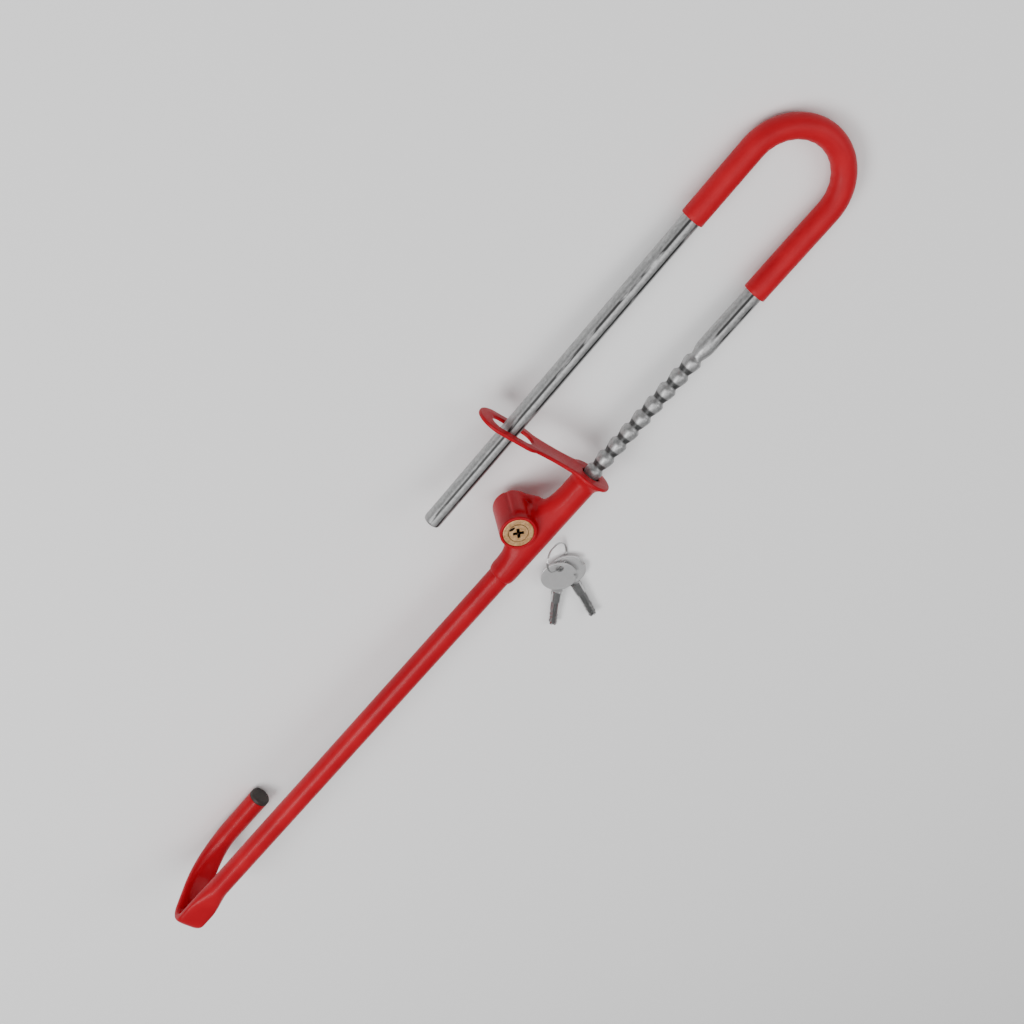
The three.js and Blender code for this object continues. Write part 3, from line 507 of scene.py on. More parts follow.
class Shader:
    """Builds one node material round its Principled BSDF."""

    def __init__(self, name, **values):
        self.material = bpy.data.materials.new(name)
        self.material.use_nodes = True
        self.tree = self.material.node_tree
        self.surface = self.tree.nodes["Principled BSDF"]
        for key, value in values.items():
            self.surface.inputs[key.replace("_", " ")].default_value = value
        self.place = self.node("TexCoord").outputs["Object"]

    def node(self, kind, settings=None, **inputs):
        made = self.tree.nodes.new("ShaderNode" + kind)
        for key, value in (settings or {}).items():
            setattr(made, key, value)
        for key, value in inputs.items():
            self.feed(made.inputs[key.replace("_", " ")], value)
        return made

    def feed(self, socket, value):
        if isinstance(value, bpy.types.NodeSocket):
            self.tree.links.new(value, socket)
        else:
            socket.default_value = value

    def to(self, name, value):
        self.feed(self.surface.inputs[name], value)

    def finish(self, colour, roughness, normal):
        self.to("Base Color", colour)
        self.to("Roughness", roughness)
        self.to("Normal", normal)
        return self.material

    def laid(self, stretch=(1, 1, 1)):
        """Places on the straightened piece, in millimetres, scaled by stretch."""
        at = self.node("Attribute", {"attribute_name": "laid"}).outputs["Vector"]
        made = self.node("VectorMath", {"operation": "MULTIPLY"})
        self.feed(made.inputs[0], at)
        self.feed(made.inputs[1], stretch)
        return made.outputs["Vector"]

    def noise(self, vector, scale, detail=3.0, roughness=0.5):
        made = self.node("TexNoise", Vector=vector, Scale=scale, Detail=detail, Roughness=roughness)
        return made.outputs["Fac"]

    def spread(self, value, low, high, to_low=0.0, to_high=1.0):
        span = {"From_Min": low, "From_Max": high, "To_Min": to_low, "To_Max": to_high}
        return self.node("MapRange", {"clamp": True}, Value=value, **span).outputs["Result"]

    def math(self, operation, first, second):
        made = self.node("Math", {"operation": operation})
        self.feed(made.inputs[0], first)
        self.feed(made.inputs[1], second)
        return made.outputs["Value"]

    def mix(self, share, first, second):
        made = self.node("Mix", {"data_type": "RGBA"}, Factor=share, A=first, B=second)
        return made.outputs["Result"]

    def bump(self, height, distance, strength=1.0, normal=None):
        made = self.node("Bump", Height=height, Distance=distance, Strength=strength)
        if normal is not None:
            self.feed(made.inputs["Normal"], normal)
        return made.outputs["Normal"]


def grey(value):
    return (value, value, value, 1)


def make_red_paint():
    """Enamel with orange peel, slow changes of shade and a few dark specks."""
    shader = Shader("red_enamel", Coat_Weight=0.05, Coat_Roughness=0.1, Specular_IOR_Level=0.10)
    slow = shader.noise(shader.place, 38, 2)
    fine = shader.noise(shader.place, 900, 3)
    red = shader.mix(shader.spread(slow, 0.35, 0.68), (0.36, 0.004, 0.012, 1), (0.44, 0.006, 0.015, 1))
    specks = shader.spread(shader.noise(shader.place, 1500, 1), 0.78, 0.84)
    red = shader.mix(specks, red, (0.28, 0.006, 0.008, 1))
    peel = shader.noise(shader.place, 260, 2, 0.4)
    return shader.finish(red, shader.spread(fine, 0.3, 0.7, 0.30, 0.42), shader.bump(peel, 0.00010, 0.35))


def make_red_vinyl():
    """Soft dipped vinyl: satin, with fine lengthwise draw marks and slow mottling."""
    shader = Shader("red_vinyl_skin", Specular_IOR_Level=0.16)
    slow = shader.noise(shader.laid((0.05, 0.12, 0.12)), 1.0, 3)
    red = shader.mix(shader.spread(slow, 0.3, 0.7), (0.40, 0.004, 0.012, 1), (0.48, 0.007, 0.016, 1))
    marks = shader.noise(shader.laid((0.15, 2.2, 2.2)), 1.0, 4)
    return shader.finish(red, shader.spread(marks, 0.3, 0.7, 0.38, 0.54), shader.bump(marks, 0.00012, 0.35))


def make_black_plastic():
    """Moulded plastic with a fine matt grain."""
    shader = Shader("black_cap")
    grain = shader.noise(shader.place, 2600, 2)
    slow = shader.noise(shader.place, 160, 2)
    black = shader.mix(slow, (0.020, 0.013, 0.011, 1), (0.034, 0.024, 0.021, 1))
    return shader.finish(black, shader.spread(grain, 0.3, 0.7, 0.5, 0.72), shader.bump(grain, 0.00008, 0.5))


def make_zinc():
    """Dull zinc plate on drawn bar: mottled and streaked along the bar, with painted shade in the necks and
    painted dark reflection lines on the plain part.
    """
    shader = Shader("zinc_plate")
    streaks = shader.noise(shader.laid((0.02, 1.6, 1.6)), 1.0, 5, 0.6)
    cloud = shader.noise(shader.laid((0.45, 0.6, 0.6)), 1.0, 4, 0.65)
    tone = shader.mix(shader.spread(cloud, 0.35, 0.65), grey(0.29), grey(0.45))
    tone = shader.mix(shader.spread(streaks, 0.55, 0.75, 0, 0.35), tone, grey(0.18))
    # Painted dark reflection lines along the plain part of the bar.
    tone = shader.mix(painted_reflection_lines(shader), tone, grey(0.025))
    # Painted shade in the necks of the notches: near black there, and less metallic.
    neck_shade = shader.node("Attribute", {"attribute_name": "neck_shade"}).outputs["Fac"]
    broken = shader.spread(shader.noise(shader.place, 700, 3), 0.2, 0.6, 0.85, 1.0)
    dark = shader.math("MULTIPLY", neck_shade, broken)
    shader.to("Metallic", shader.spread(dark, 0, 1, 0.7, 0.1))
    roughness = shader.spread(streaks, 0.3, 0.75, 0.38, 0.52)
    return shader.finish(shader.mix(dark, tone, grey(0.022)), roughness, shader.bump(cloud, 0.00008, 0.4))


def painted_reflection_lines(shader):
    """Two painted dark reflection lines along one side of the bar's plain part, broken in places by noise."""
    place = shader.node("SeparateXYZ", Vector=shader.laid()).outputs
    across = shader.math("ABSOLUTE", place["Y"], 0)
    beside = shader.math("ABSOLUTE", shader.math("SUBTRACT", across, REFLECTION_LINE_ACROSS), 0)
    line = shader.spread(beside, 0.45, 1.15, 1, 0)
    plain_from = PLAIN_FROM_X - NOTCHED_END_X
    one_side = shader.spread(place["Z"], -2, 0, 1, 0)
    plain_part = shader.spread(place["X"], plain_from, plain_from + 8)
    shown = shader.math("MULTIPLY", one_side, plain_part)
    line_gaps = shader.spread(shader.noise(shader.laid((0.04, 0.2, 0.2)), 1.0, 3), 0.30, 0.44)
    return shader.math("MULTIPLY", shader.math("MULTIPLY", line, shown), line_gaps)


def make_nickel():
    """Satin nickel plate with a fine tumbled grain."""
    shader = Shader("nickel_plate", Metallic=1.0)
    cloud = shader.noise(shader.place, 260, 3)
    grain = shader.noise(shader.place, 3200, 2)
    tone = shader.mix(cloud, grey(0.46), grey(0.66))
    return shader.finish(tone, shader.spread(grain, 0.3, 0.7, 0.18, 0.28), shader.bump(grain, 0.00003, 0.4))


def make_nickel_head():
    """The head's nickel, with rows of small coined dots."""
    shader = Shader("nickel_coined", Metallic=0.45)
    cloud = shader.noise(shader.place, 260, 3)
    grain = shader.noise(shader.place, 3000, 2)
    dots = shader.node("TexVoronoi", {"feature": "F1"}, Vector=shader.place, Scale=900.0, Randomness=0.0)
    dimple = shader.spread(dots.outputs["Distance"], 0.18, 0.34, 1, 0)
    tone = shader.mix(cloud, grey(0.50), grey(0.60))
    tone = shader.mix(shader.math("MULTIPLY", dimple, 0.35), tone, grey(0.4))
    normal = shader.bump(grain, 0.00003, 0.3, shader.bump(dimple, -0.00012, 0.5))
    return shader.finish(tone, shader.spread(grain, 0.3, 0.7, 0.3, 0.42), normal)


def make_brass():
    """Turned and tumbled brass: mottled, with dark pits, a fine grain and near-black painted shade in the
    keyway.
    """
    shader = Shader("brass_satin", Metallic=0.85)
    cloud = shader.noise(shader.place, 520, 4, 0.65)
    pits = shader.spread(shader.noise(shader.place, 1500, 3, 0.7), 0.56, 0.68)
    warm = shader.mix(shader.spread(cloud, 0.35, 0.65), (0.62, 0.33, 0.13, 1), (0.84, 0.52, 0.27, 1))
    pitted = shader.mix(pits, warm, (0.40, 0.27, 0.12, 1))
    # Near-black painted shade on the walls of the keyway and the index dimple.
    recess_shade = shader.node("Attribute", {"attribute_name": "recess_shade"}).outputs["Fac"]
    brass = shader.mix(recess_shade, pitted, (0.030, 0.016, 0.009, 1))
    return shader.finish(brass, shader.spread(cloud, 0.3, 0.7, 0.34, 0.52), shader.bump(pits, 0.00006, 0.6))


def make_steel():
    """Machined steel for the inner pieces."""
    shader = Shader("machined_steel", Metallic=1.0)
    cloud = shader.noise(shader.place, 900, 3)
    tone = shader.mix(cloud, grey(0.38), grey(0.55))
    return shader.finish(tone, shader.spread(cloud, 0.3, 0.7, 0.25, 0.42), shader.bump(cloud, 0.00003, 0.4))


RED = make_red_paint()
VINYL = make_red_vinyl()
BLACK = make_black_plastic()
ZINC = make_zinc()
NICKEL = make_nickel()
NICKEL_HEAD = make_nickel_head()
BRASS = make_brass()
STEEL = make_steel()


# ---- Tube, hook and cap

def hook_stations():
    """Stations down the tube from its mouth, up to the strap, round the fold and along the arm."""
    points = [(x, 0) for x in evenly(TUBE_MOUTH_X, BEND_START_X, 40)]
    for share in evenly(0, 1, 16, 1):
        x = BEND_START_X + (FLATTEN_TO_X - BEND_START_X) * share
        points.append((x, STRAP_Z * smoothstep(0, 1, share)))
    for angle in evenly(0, FOLD_ANGLE, 26):
        x = FOLD_X - FOLD_RADIUS * math.sin(angle)
        points.append((x, STRAP_Z - FOLD_RADIUS * (1 - math.cos(angle))))
    turn = math.pi - FOLD_ANGLE
    fold_x, fold_z = points[-1]
    bend_z = ARM_Z + ARM_BEND_RADIUS * (1 - math.cos(turn))
    bend_x = fold_x + (fold_z - bend_z) / math.tan(turn)
    for share in evenly(0, 1, 6, 1)[:-1]:
        points.append((fold_x + (bend_x - fold_x) * share, fold_z + (bend_z - fold_z) * share))
    for angle in evenly(turn, 0, 20):
        x = bend_x + ARM_BEND_RADIUS * (math.sin(turn) - math.sin(angle))
        points.append((x, ARM_Z + ARM_BEND_RADIUS * (1 - math.cos(angle))))
    points += [(x, ARM_Z) for x in evenly(points[-1][0], ARM_END_X, 8, 1)]
    return with_directions([Vector((x, 0, z)) for x, z in points], Vector((0, 1, 0)))


def with_directions(centres, side):
    stations = []
    for i, centre in enumerate(centres):
        before = centres[max(i - 1, 0)]
        after = centres[min(i + 1, len(centres) - 1)]
        arriving = (centre - before).normalized()
        leaving = (after - centre).normalized()
        stations.append((centre, (arriving + leaving).normalized(), side))
    return stations


def flatness(centre):
    """0 where the tube is round, 1 in the strap and round the fold."""
    if centre.z < -FOLD_RADIUS:
        return 1 - smoothstep(FOLD_X, ROUND_AGAIN_X, centre.x)
    return 1 - smoothstep(FLATTEN_TO_X, BEND_START_X, centre.x)


def make_lower_tube():
    outer = hook_stations()
    bore_from = (Vector((BORE_DEPTH_X, 0, 0)), Vector((1, 0, 0)), Vector((0, 1, 0)))
    bore_to = (Vector((TUBE_MOUTH_X, 0, 0)), Vector((1, 0, 0)), Vector((0, 1, 0)))
    arm_end = outer[-1]
    spigot_to = (Vector((ARM_END_X - CAP_SPIGOT - 1, 0, ARM_Z)), arm_end[1], arm_end[2])
    stations = [bore_from, bore_to] + outer + [arm_end, spigot_to]
    inside = (0, 1, len(stations) - 2, len(stations) - 1)

    def section(i, angle):
        if i in inside:
            # The bore's rings face the other way along the path, so they turn the other way too.
            facing = 1 if i < 2 else -1
            return TUBE_BORE * math.cos(angle), facing * TUBE_BORE * math.sin(angle)
        flat = flatness(stations[i][0])
        width = TUBE_RADIUS + (STRAP_HALF_WIDTH - TUBE_RADIUS) * flat
        thickness = TUBE_RADIUS + (STRAP_HALF_THICKNESS - TUBE_RADIUS) * flat
        across, up = math.cos(angle), math.sin(angle)
        # A pressed tube has flat faces and tight round edges.
        power = 1 - STRAP_EDGE_TIGHTNESS * flat
        across = math.copysign(abs(across) ** power, across)
        up = math.copysign(abs(up) ** power, up)
        dent = STRAP_DENT * flat * math.exp(-((angle - math.radians(90)) ** 2) / 0.25)
        return width * across, -(thickness - dent) * up

    tube = sweep("lower_tube_painted", stations, section, sides=64)
    carve(tube, moved(drill(BARREL_RADIUS + 0.2, 11), shift(BARREL_X, BARREL_Y, 0)))
    settle(tube, LOCK, RED, "lock_frame", "red_paint", "lower_tube", sharp=35)


def make_hook_cap():
    """A spigot in the arm, a flat shoulder, a rounded edge and a slightly domed end."""
    profile = [(CAP_SPIGOT_RADIUS - 0.8, -CAP_SPIGOT), (CAP_SPIGOT_RADIUS, -CAP_SPIGOT + 0.8)]
    profile += [(CAP_SPIGOT_RADIUS, 0), (TUBE_RADIUS - 0.25, 0), (TUBE_RADIUS, 0.25)]
    profile.append((TUBE_RADIUS, CAP_HEAD - CAP_ROUNDING))
    for angle in evenly(0, math.radians(90), 10, 1):
        radius = TUBE_RADIUS - CAP_ROUNDING * (1 - math.cos(angle))
        height = CAP_HEAD - CAP_ROUNDING + (CAP_ROUNDING - CAP_DOME) * math.sin(angle)
        profile.append((radius, height))
    dome_radius = TUBE_RADIUS - CAP_ROUNDING
    for radius in (4.5, 3.0, 1.5, 0.2):
        profile.append((radius, CAP_HEAD - CAP_DOME + CAP_DOME * (1 - (radius / dome_radius) ** 2)))
    cap = lathe("hook_end_cap", profile)
    place = LOCK @ shift(ARM_END_X + 0.1, 0, ARM_Z) @ turned(90, "Y")
    settle(cap, place, BLACK, "lock_frame", "black_plastic", "hook_cap", sharp=40)


# ---- Housing, barrel and web, as one painted weldment

def blended(first, second, reach):
    """The union of two distance fields, with a fillet of about that reach."""
    share = np.clip(0.5 + 0.5 * (second - first) / reach, 0, 1)
    return second + (first - second) * share - reach * share * (1 - share)


def make_weldment():
    """One painted skin over the housing, the web, the gusset, the barrel and its lobe, with their bores."""
    low = (HOUSING_END_X - 3, -HOUSING_RADIUS - WELD_HEIGHT - 2, BARREL_BACK - 2.5)
    high = (TUBE_MOUTH_X + 2, BARREL_Y + BARREL_RADIUS + 3, BARREL_FRONT + 2)
    axes = [np.arange(a, b, WELDMENT_STEP) for a, b in zip(low, high)]
    x, y, z = np.meshgrid(*axes, indexing="ij")
    red = blended(housing_field(x, y, z), web_field(x, y, z), WEB_FILLET)
    red = blended(red, gusset_field(x, y, z), GUSSET_FILLET)
    red = blended(red, barrel_field(x, y, z), BARREL_FILLET)
    red = blended(red, lobe_field(x, y, z), LOBE_FILLET)
    for dent_x, dent_y, dent_z, long, wide, deep in DENTS:
        across = ((x - dent_x) ** 2 + (y - dent_y) ** 2) / wide ** 2
        red = red + deep * np.exp(-across - ((z - dent_z) / long) ** 2)
    red = np.maximum(red, BARREL_BORE - np.hypot(x - BARREL_X, y - BARREL_Y))
    red = np.maximum(red, TUBE_RADIUS + TUBE_CLEARANCE - np.hypot(y, z))
    bolt_passage = np.minimum(y, BARREL_Y - y)
    red = np.maximum(red, np.minimum(BOLT_HOLE_RADIUS - np.hypot(x - BARREL_X, z), bolt_passage))
    points, faces = surface_nets(red, low, WELDMENT_STEP)
    weldment = mesh_object("housing_and_barrel_painted", points, faces)
    relax = weldment.modifiers.new("relax", "SMOOTH")
    relax.factor = 0.5
    relax.iterations = 3
    apply_modifiers(weldment)
    settle(weldment, LOCK, RED, "lock_frame", "red_paint", "housing_tube", "lock_barrel", sharp=180)


def housing_field(x, y, z):
    """The housing tube, which narrows a little at its far end and flares up as a weld at the plate's back."""
    from_end = np.clip((x - HOUSING_END_X) / HOUSING_END_LENGTH, 0, 1)
    narrowing = HOUSING_END_NARROWING * (1 - from_end) ** 2
    flare = np.clip((x - WELD_FROM_X) / (TUBE_MOUTH_X - WELD_FROM_X), 0, 1)
    weld = WELD_HEIGHT * flare ** WELD_CURVE
    plate_back = x + y * math.tan(PLATE_TILT) - (PLATE_FACE_X - PLATE_THICKNESS - 0.05)
    side = np.hypot(y, z) - HOUSING_RADIUS + narrowing - weld
    return np.maximum(side, np.maximum(HOUSING_END_X - x, plate_back))


def web_field(x, y, z):
    """An egg-shaped section that grows out of the housing towards the barrel and sinks into it again."""
    front = np.clip((x - WEB_FRONT_X) / (WEB_TOP_FRONT_X - WEB_FRONT_X), 0, 1)
    back = np.clip((x - WEB_BACK_X) / (WEB_TOP_BACK_X - WEB_BACK_X), 0, 1)
    share = np.minimum(front ** WEB_FRONT_CURVE, back ** WEB_BACK_CURVE)
    sunk = HOUSING_RADIUS - WEB_END_SINK
    height = sunk + (BARREL_Y - sunk) * share
    thickness = WEB_END_HALF_THICKNESS + (WEB_HALF_THICKNESS - WEB_END_HALF_THICKNESS) * share
    section = np.hypot(np.maximum(y, 0) / height, z / thickness) - 1
    ends = np.maximum(x - WEB_FRONT_X, WEB_BACK_X - x)
    return np.maximum(section * WEB_END_HALF_THICKNESS, np.maximum(ends, -y))


def gusset_field(x, y, z):
    """A round rib that slopes from low on the barrel down to the web's lower edge."""
    offset = [place - start for place, start in zip((x, y, z), GUSSET_START)]
    share = sum(o * a for o, a in zip(offset, GUSSET_ALONG)) / sum(a * a for a in GUSSET_ALONG)
    share = np.clip(share, 0, 1)
    return np.sqrt(sum((o - share * a) ** 2 for o, a in zip(offset, GUSSET_ALONG))) - GUSSET_RADIUS


def barrel_field(x, y, z):
    ends = np.maximum(z - BARREL_FRONT, BARREL_BACK - z)
    return rounded_meet(np.hypot(x - BARREL_X, y - BARREL_Y) - BARREL_RADIUS, ends, BARREL_EDGE)


def lobe_field(x, y, z):
    across = x - BARREL_X - LOBE_X
    slanted_top = z - LOBE_TOP + LOBE_TOP_SLOPE * across
    ends = np.maximum(slanted_top, BARREL_BACK - z)
    return rounded_meet(np.hypot(across, y - BARREL_Y - LOBE_Y) - LOBE_RADIUS, ends, LOBE_EDGE)


def rounded_meet(first, second, radius):
    """The intersection of two distance fields, with its edge rounded."""
    a = np.maximum(first + radius, 0)
    b = np.maximum(second + radius, 0)
    return np.minimum(np.maximum(first, second), -radius) + np.hypot(a, b)


def make_rear_cap():
    radius = REAR_CAP_RADIUS
    top = REAR_CAP_THICKNESS
    profile = [(radius - 0.4, 0), (radius, 0.4), (radius, top - 0.8)]
    profile += [(radius - 0.3, top - 0.25), (radius - 1.2, top), (0.2, top)]
    cap = lathe("barrel_rear_disc", profile)
    place = BARREL @ shift(0, 0, BARREL_BACK + REAR_CAP_THICKNESS) @ turned(180, "X")
    settle(cap, place, RED, "lock_frame", "red_paint", "barrel_rear_cap", sharp=40)


# ---- Guide plate

def arc(centre_x, radius, start, end, steps):
    """Points on an arc whose centre is on the plate's long axis."""
    angles = evenly(start, end, steps)
    return [(centre_x + radius * math.cos(angle), radius * math.sin(angle)) for angle in angles]


def bend_to(start, control, end, steps):
    """Points on a quadratic curve between start and end, without the two themselves."""
    points = []
    for i in range(1, steps):
        t = i / steps
        ends = zip(start, control, end)
        points.append(tuple((1 - t) ** 2 * a + 2 * t * (1 - t) * b + t * t * c for a, b, c in ends))
    return points


def flat_piece(name, outlines, thickness, edge):
    """A plate in the XY plane with rounded edges, from an outline and the outlines of its holes."""
    curve = bpy.data.curves.new(name, "CURVE")
    curve.dimensions = "2D"
    curve.fill_mode = "BOTH"
    curve.extrude = thickness / 2 - edge
    curve.bevel_depth = edge
    curve.bevel_resolution = 4
    curve.offset = -edge
    for outline in outlines:
        spline = curve.splines.new("POLY")
        spline.points.add(len(outline) - 1)
        for point, (u, v) in zip(spline.points, outline):
            point.co = (u, v, 0, 1)
        spline.use_cyclic_u = True
    holder = linked(name + "_curve", curve)
    mesh = shown_mesh(holder)
    bpy.data.objects.remove(holder)
    bm = bmesh.new()
    bm.from_mesh(mesh)
    bmesh.ops.remove_doubles(bm, verts=bm.verts, dist=1e-4)
    bm.to_mesh(mesh)
    bm.free()
    return linked(name, mesh)


def make_guide_plate():
    lobe_angle = math.asin(PLATE_NECK_HALF_WIDTH / PLATE_LOBE_RADIUS) * PLATE_NECK_FLARE
    eye_angle = math.pi - math.asin(PLATE_NECK_HALF_WIDTH / EYE_RADIUS) * PLATE_NECK_FLARE
    quarter = math.pi / 2
    lobe = arc(0, PLATE_LOBE_RADIUS, lobe_angle, 2 * math.pi - lobe_angle, 60)
    eye = arc(EYE_INNER_Y, EYE_RADIUS, -eye_angle, -quarter, 12)
    eye += arc(EYE_OUTER_Y, EYE_RADIUS, -quarter, quarter, 48)
    eye += arc(EYE_INNER_Y, EYE_RADIUS, quarter, eye_angle, 12)
    middle = (lobe[0][0] + eye[0][0]) / 2
    waist = PLATE_NECK_HALF_WIDTH - PLATE_NECK_PINCH
    outline = lobe + bend_to(lobe[-1], (middle, -waist), eye[0], 10) + eye
    outline += bend_to(eye[-1], (middle, waist), lobe[0], 10)
    slot = arc(SLOT_INNER_Y, SLOT_HALF_WIDTH, quarter, 3 * quarter, 24)
    slot += arc(SLOT_OUTER_Y, SLOT_HALF_WIDTH, -quarter, quarter, 24)
    hole = arc(0, PLATE_HOLE_RADIUS, 0, 2 * math.pi * 47 / 48, 47)
    plate = flat_piece("guide_plate_painted", (outline, slot, hole), PLATE_THICKNESS, PLATE_EDGE)
    stand = Matrix(((0, 0, 1, 0), (1, 0, 0, 0), (0, 1, 0, 0), (0, 0, 0, 1)))
    tilt = shift(PLATE_FACE_X, 0, 0) @ Matrix.Rotation(PLATE_TILT, 4, "Z")
    place = LOCK @ tilt @ shift(-PLATE_THICKNESS / 2, 0, 0) @ stand
    settle(plate, place, RED, "lock_frame", "red_paint", "guide_plate", sharp=50)


# ---- Brass cylinder

def radial_tool(radius, start, end, degrees, height):
    """A drill that points out from the barrel's axis."""
    tool = lathe("bore", [(radius, start), (radius, end)], 24)
    return moved(tool, turned(90, "Y"), turned(degrees, "Z"), shift(0, 0, height))


def pin_bores(start, end):
    rows = [45 + 90 * row for row in range(PIN_ROWS)]
    return [radial_tool(PIN_RADIUS + 0.2, start, end, row, level) for row in rows for level in PIN_LEVELS]


def make_cylinder_body():
    """A bored body with a turned ring on its face, and the bores for the bolt, its tail and the pins."""
    ring = FACE_RING_RADIUS
    outer = [(BODY_RADIUS, BODY_BACK), (BODY_RADIUS, FACE_Z - 0.35), (BODY_RADIUS - 0.12, FACE_Z - 0.1)]
    outer += [(BODY_RADIUS - 0.4, FACE_Z), (ring + 0.35, FACE_Z), (ring + 0.25, FACE_Z - 0.1)]
    outer += [(ring + 0.1, FACE_Z - 0.1), (ring, FACE_Z)]
    flange_bore = PLUG_FLANGE_RADIUS + 0.15
    plug_bore = PLUG_RADIUS + 0.2
    seat_z = FACE_Z - PLUG_FLANGE_DEPTH - 0.2
    inner = [(PLUG_FLANGE_RADIUS + 0.3, FACE_Z), (flange_bore, FACE_Z - 0.2)]
    inner += [(flange_bore, seat_z), (plug_bore, seat_z), (plug_bore, BODY_BACK)]
    points, faces = skin_loop(outer + inner, 96)
    body = mesh_object("brass_cylinder", points, faces)
    bolt_hole = radial_tool(BOLT_BORE, 7, BODY_RADIUS + 1, -90, 0)
    tail_hole = radial_tool(BOLT_TAIL_BORE, 5, 8, -90, 0)
    pin_hole = radial_tool(RETAINING_PIN_BORE, 8.4, BODY_RADIUS + 1, 90, RETAINING_PIN_Z)
    carve(body, bolt_hole, tail_hole, pin_hole, *pin_bores(5, BODY_RADIUS + 1))
    settle(body, BARREL, BRASS, "lock_frame", "brass", "cylinder_body", sharp=15)


def skin_loop(profile, sides):
    """A ring-shaped solid of revolution whose (radius, z) profile closes on itself."""
    points = [(x, y, z) for radius, z in profile for x, y in circle(radius, sides)]
    faces = []
    for i in range(len(profile)):
        faces += band(i * sides, (i + 1) % len(profile) * sides, sides)
    return points, faces


def box_tool(size, centre, degrees=0):
    tool = linked("box", bpy.data.meshes.new("box"))
    bm = bmesh.new()
    bmesh.ops.create_cube(bm, size=1)
    bm.to_mesh(tool.data)
    bm.free()
    return moved(tool, Matrix.Diagonal((*size, 1)), shift(*centre), turned(degrees, "Z"))


def make_plug():
    """A flanged plug with a clip groove, the cross keyway, a recess for the bolt and an index mark."""
    groove_z = BODY_BACK - CLIP_GROOVE
    flange_z = FACE_Z - PLUG_FLANGE_DEPTH
    profile = [(0.3, PLUG_BACK), (PLUG_TAIL_RADIUS - 0.3, PLUG_BACK), (PLUG_TAIL_RADIUS, PLUG_BACK + 0.3)]
    profile += [(PLUG_TAIL_RADIUS, groove_z), (PLUG_GROOVE_RADIUS, groove_z)]
    profile += [(PLUG_GROOVE_RADIUS, BODY_BACK), (PLUG_RADIUS, BODY_BACK), (PLUG_RADIUS, flange_z)]
    profile += [(PLUG_FLANGE_RADIUS, flange_z), (PLUG_FLANGE_RADIUS, FACE_Z - 0.2)]
    profile += [(PLUG_FLANGE_RADIUS - 0.2, FACE_Z), (0.3, FACE_Z)]
    plug = lathe("keyway_plug", profile, 96)
    size = (2 * KEYWAY_HALF_SPAN, KEYWAY_WIDTH, FACE_Z + 1 - KEYWAY_FLOOR_Z)
    middle = (FACE_Z + 1 + KEYWAY_FLOOR_Z) / 2
    bars = [box_tool(size, (0, 0, middle), degrees) for degrees in (45, -45)]
    recess = moved(drill(RECESS_RADIUS, RECESS_HALF_HEIGHT, 32), shift(0, RECESS_Y, 0))
    oval = Matrix.Diagonal((INDEX_MARK_HALF_LENGTH, INDEX_MARK_HALF_WIDTH, 1, 1))
    mark = lathe("mark", [(1, FACE_Z - INDEX_MARK_DEPTH), (1, FACE_Z + 1)], 40)
    moved(mark, oval, turned(INDEX_MARK_DEGREES, "Z"), shift(0, INDEX_MARK_Y, 0))
    carve(plug, *bars, recess, mark, *pin_bores(KEYWAY_HALF_SPAN - 1, PLUG_RADIUS + 1))
    # Painted shade on the walls of the keyway and the index dimple.
    mark_recess_shade(plug.data)
    settle(plug, BARREL, BRASS, "plug", "brass", "lock_plug", sharp=15)


def mark_recess_shade(mesh):
    """Marks the walls of the keyway and of the index dimple, which get near-black painted shade."""
    recess_shade = []
    for face in mesh.polygons:
        radius = math.hypot(face.center.x, face.center.y)
        below = FACE_Z - face.center.z
        in_keyway = radius < KEYWAY_HALF_SPAN + 0.2 and 0.05 < below < FACE_Z - KEYWAY_FLOOR_Z + 0.1
        in_dimple = radius < PLUG_RADIUS + 0.7 and 0.05 < below < INDEX_MARK_DEPTH + 0.05
        recess_shade.append(float(in_keyway or in_dimple))
    mesh.attributes.new("recess_shade", "FLOAT", "FACE").data.foreach_set("value", recess_shade)


# ---- Shackle

def notch_profile():
    """(x, radius, painted neck shade) down the notched leg from its end, sampled finely through every notch.
    """
    samples = [(NOTCHED_END_X, 4.9, 0), (NOTCHED_END_X + 0.5, 5.6, 0)]
    samples.append((NOTCHED_END_X + 1.1, CREST_RADIUS, 0))
    for i in range(-NECKS_INSIDE, NECKS_OUTSIDE):
        neck = FIRST_NECK_X + i * NOTCH_PITCH
        for offset in evenly(NOTCH_START, NOTCH_START + NOTCH_PITCH, 20)[:-1]:
            dark = neck_shade_at(offset) if 0 <= i < NECKS_OUTSIDE - 1 else 0
            samples.append((neck + offset, notch_radius(offset), dark))
    samples.append((LAST_NECK_X + 8.9, ROD_RADIUS, 0))
    samples.append((PLAIN_FROM_X, ROD_RADIUS, 0))
    return samples


def notch_radius(offset):
    """A steep side down to the neck, then a cone and a round belly up to the crest."""
    if offset < 0:
        return CREST_RADIUS - (CREST_RADIUS - NECK_RADIUS) * smoothstep(NOTCH_START, -0.2, offset)
    if offset < CONE_END:
        return NECK_RADIUS + (CONE_RADIUS - NECK_RADIUS) * offset / CONE_END
    round_share = min((offset - CONE_END) / 4.2, 1)
    return CONE_RADIUS + (CREST_RADIUS - CONE_RADIUS) * math.sin(math.pi / 2 * round_share)


def neck_shade_at(offset):
    """How much painted shade a place gets, by its distance from a neck."""
    return smoothstep(-0.9, 0.0, offset) * (1 - smoothstep(CONE_END - 0.9, CONE_END + 0.3, offset))


def bend_centres(steps, first=0):
    """Places round the U's bend, from the notched leg to the plain one."""
    bend = LEG_SPACING / 2
    centres = []
    for angle in evenly(0, math.pi, steps, first):
        centres.append(Vector((BEND_CENTRE_X + bend * math.sin(angle), bend * (1 - math.cos(angle)), 0)))
    return centres


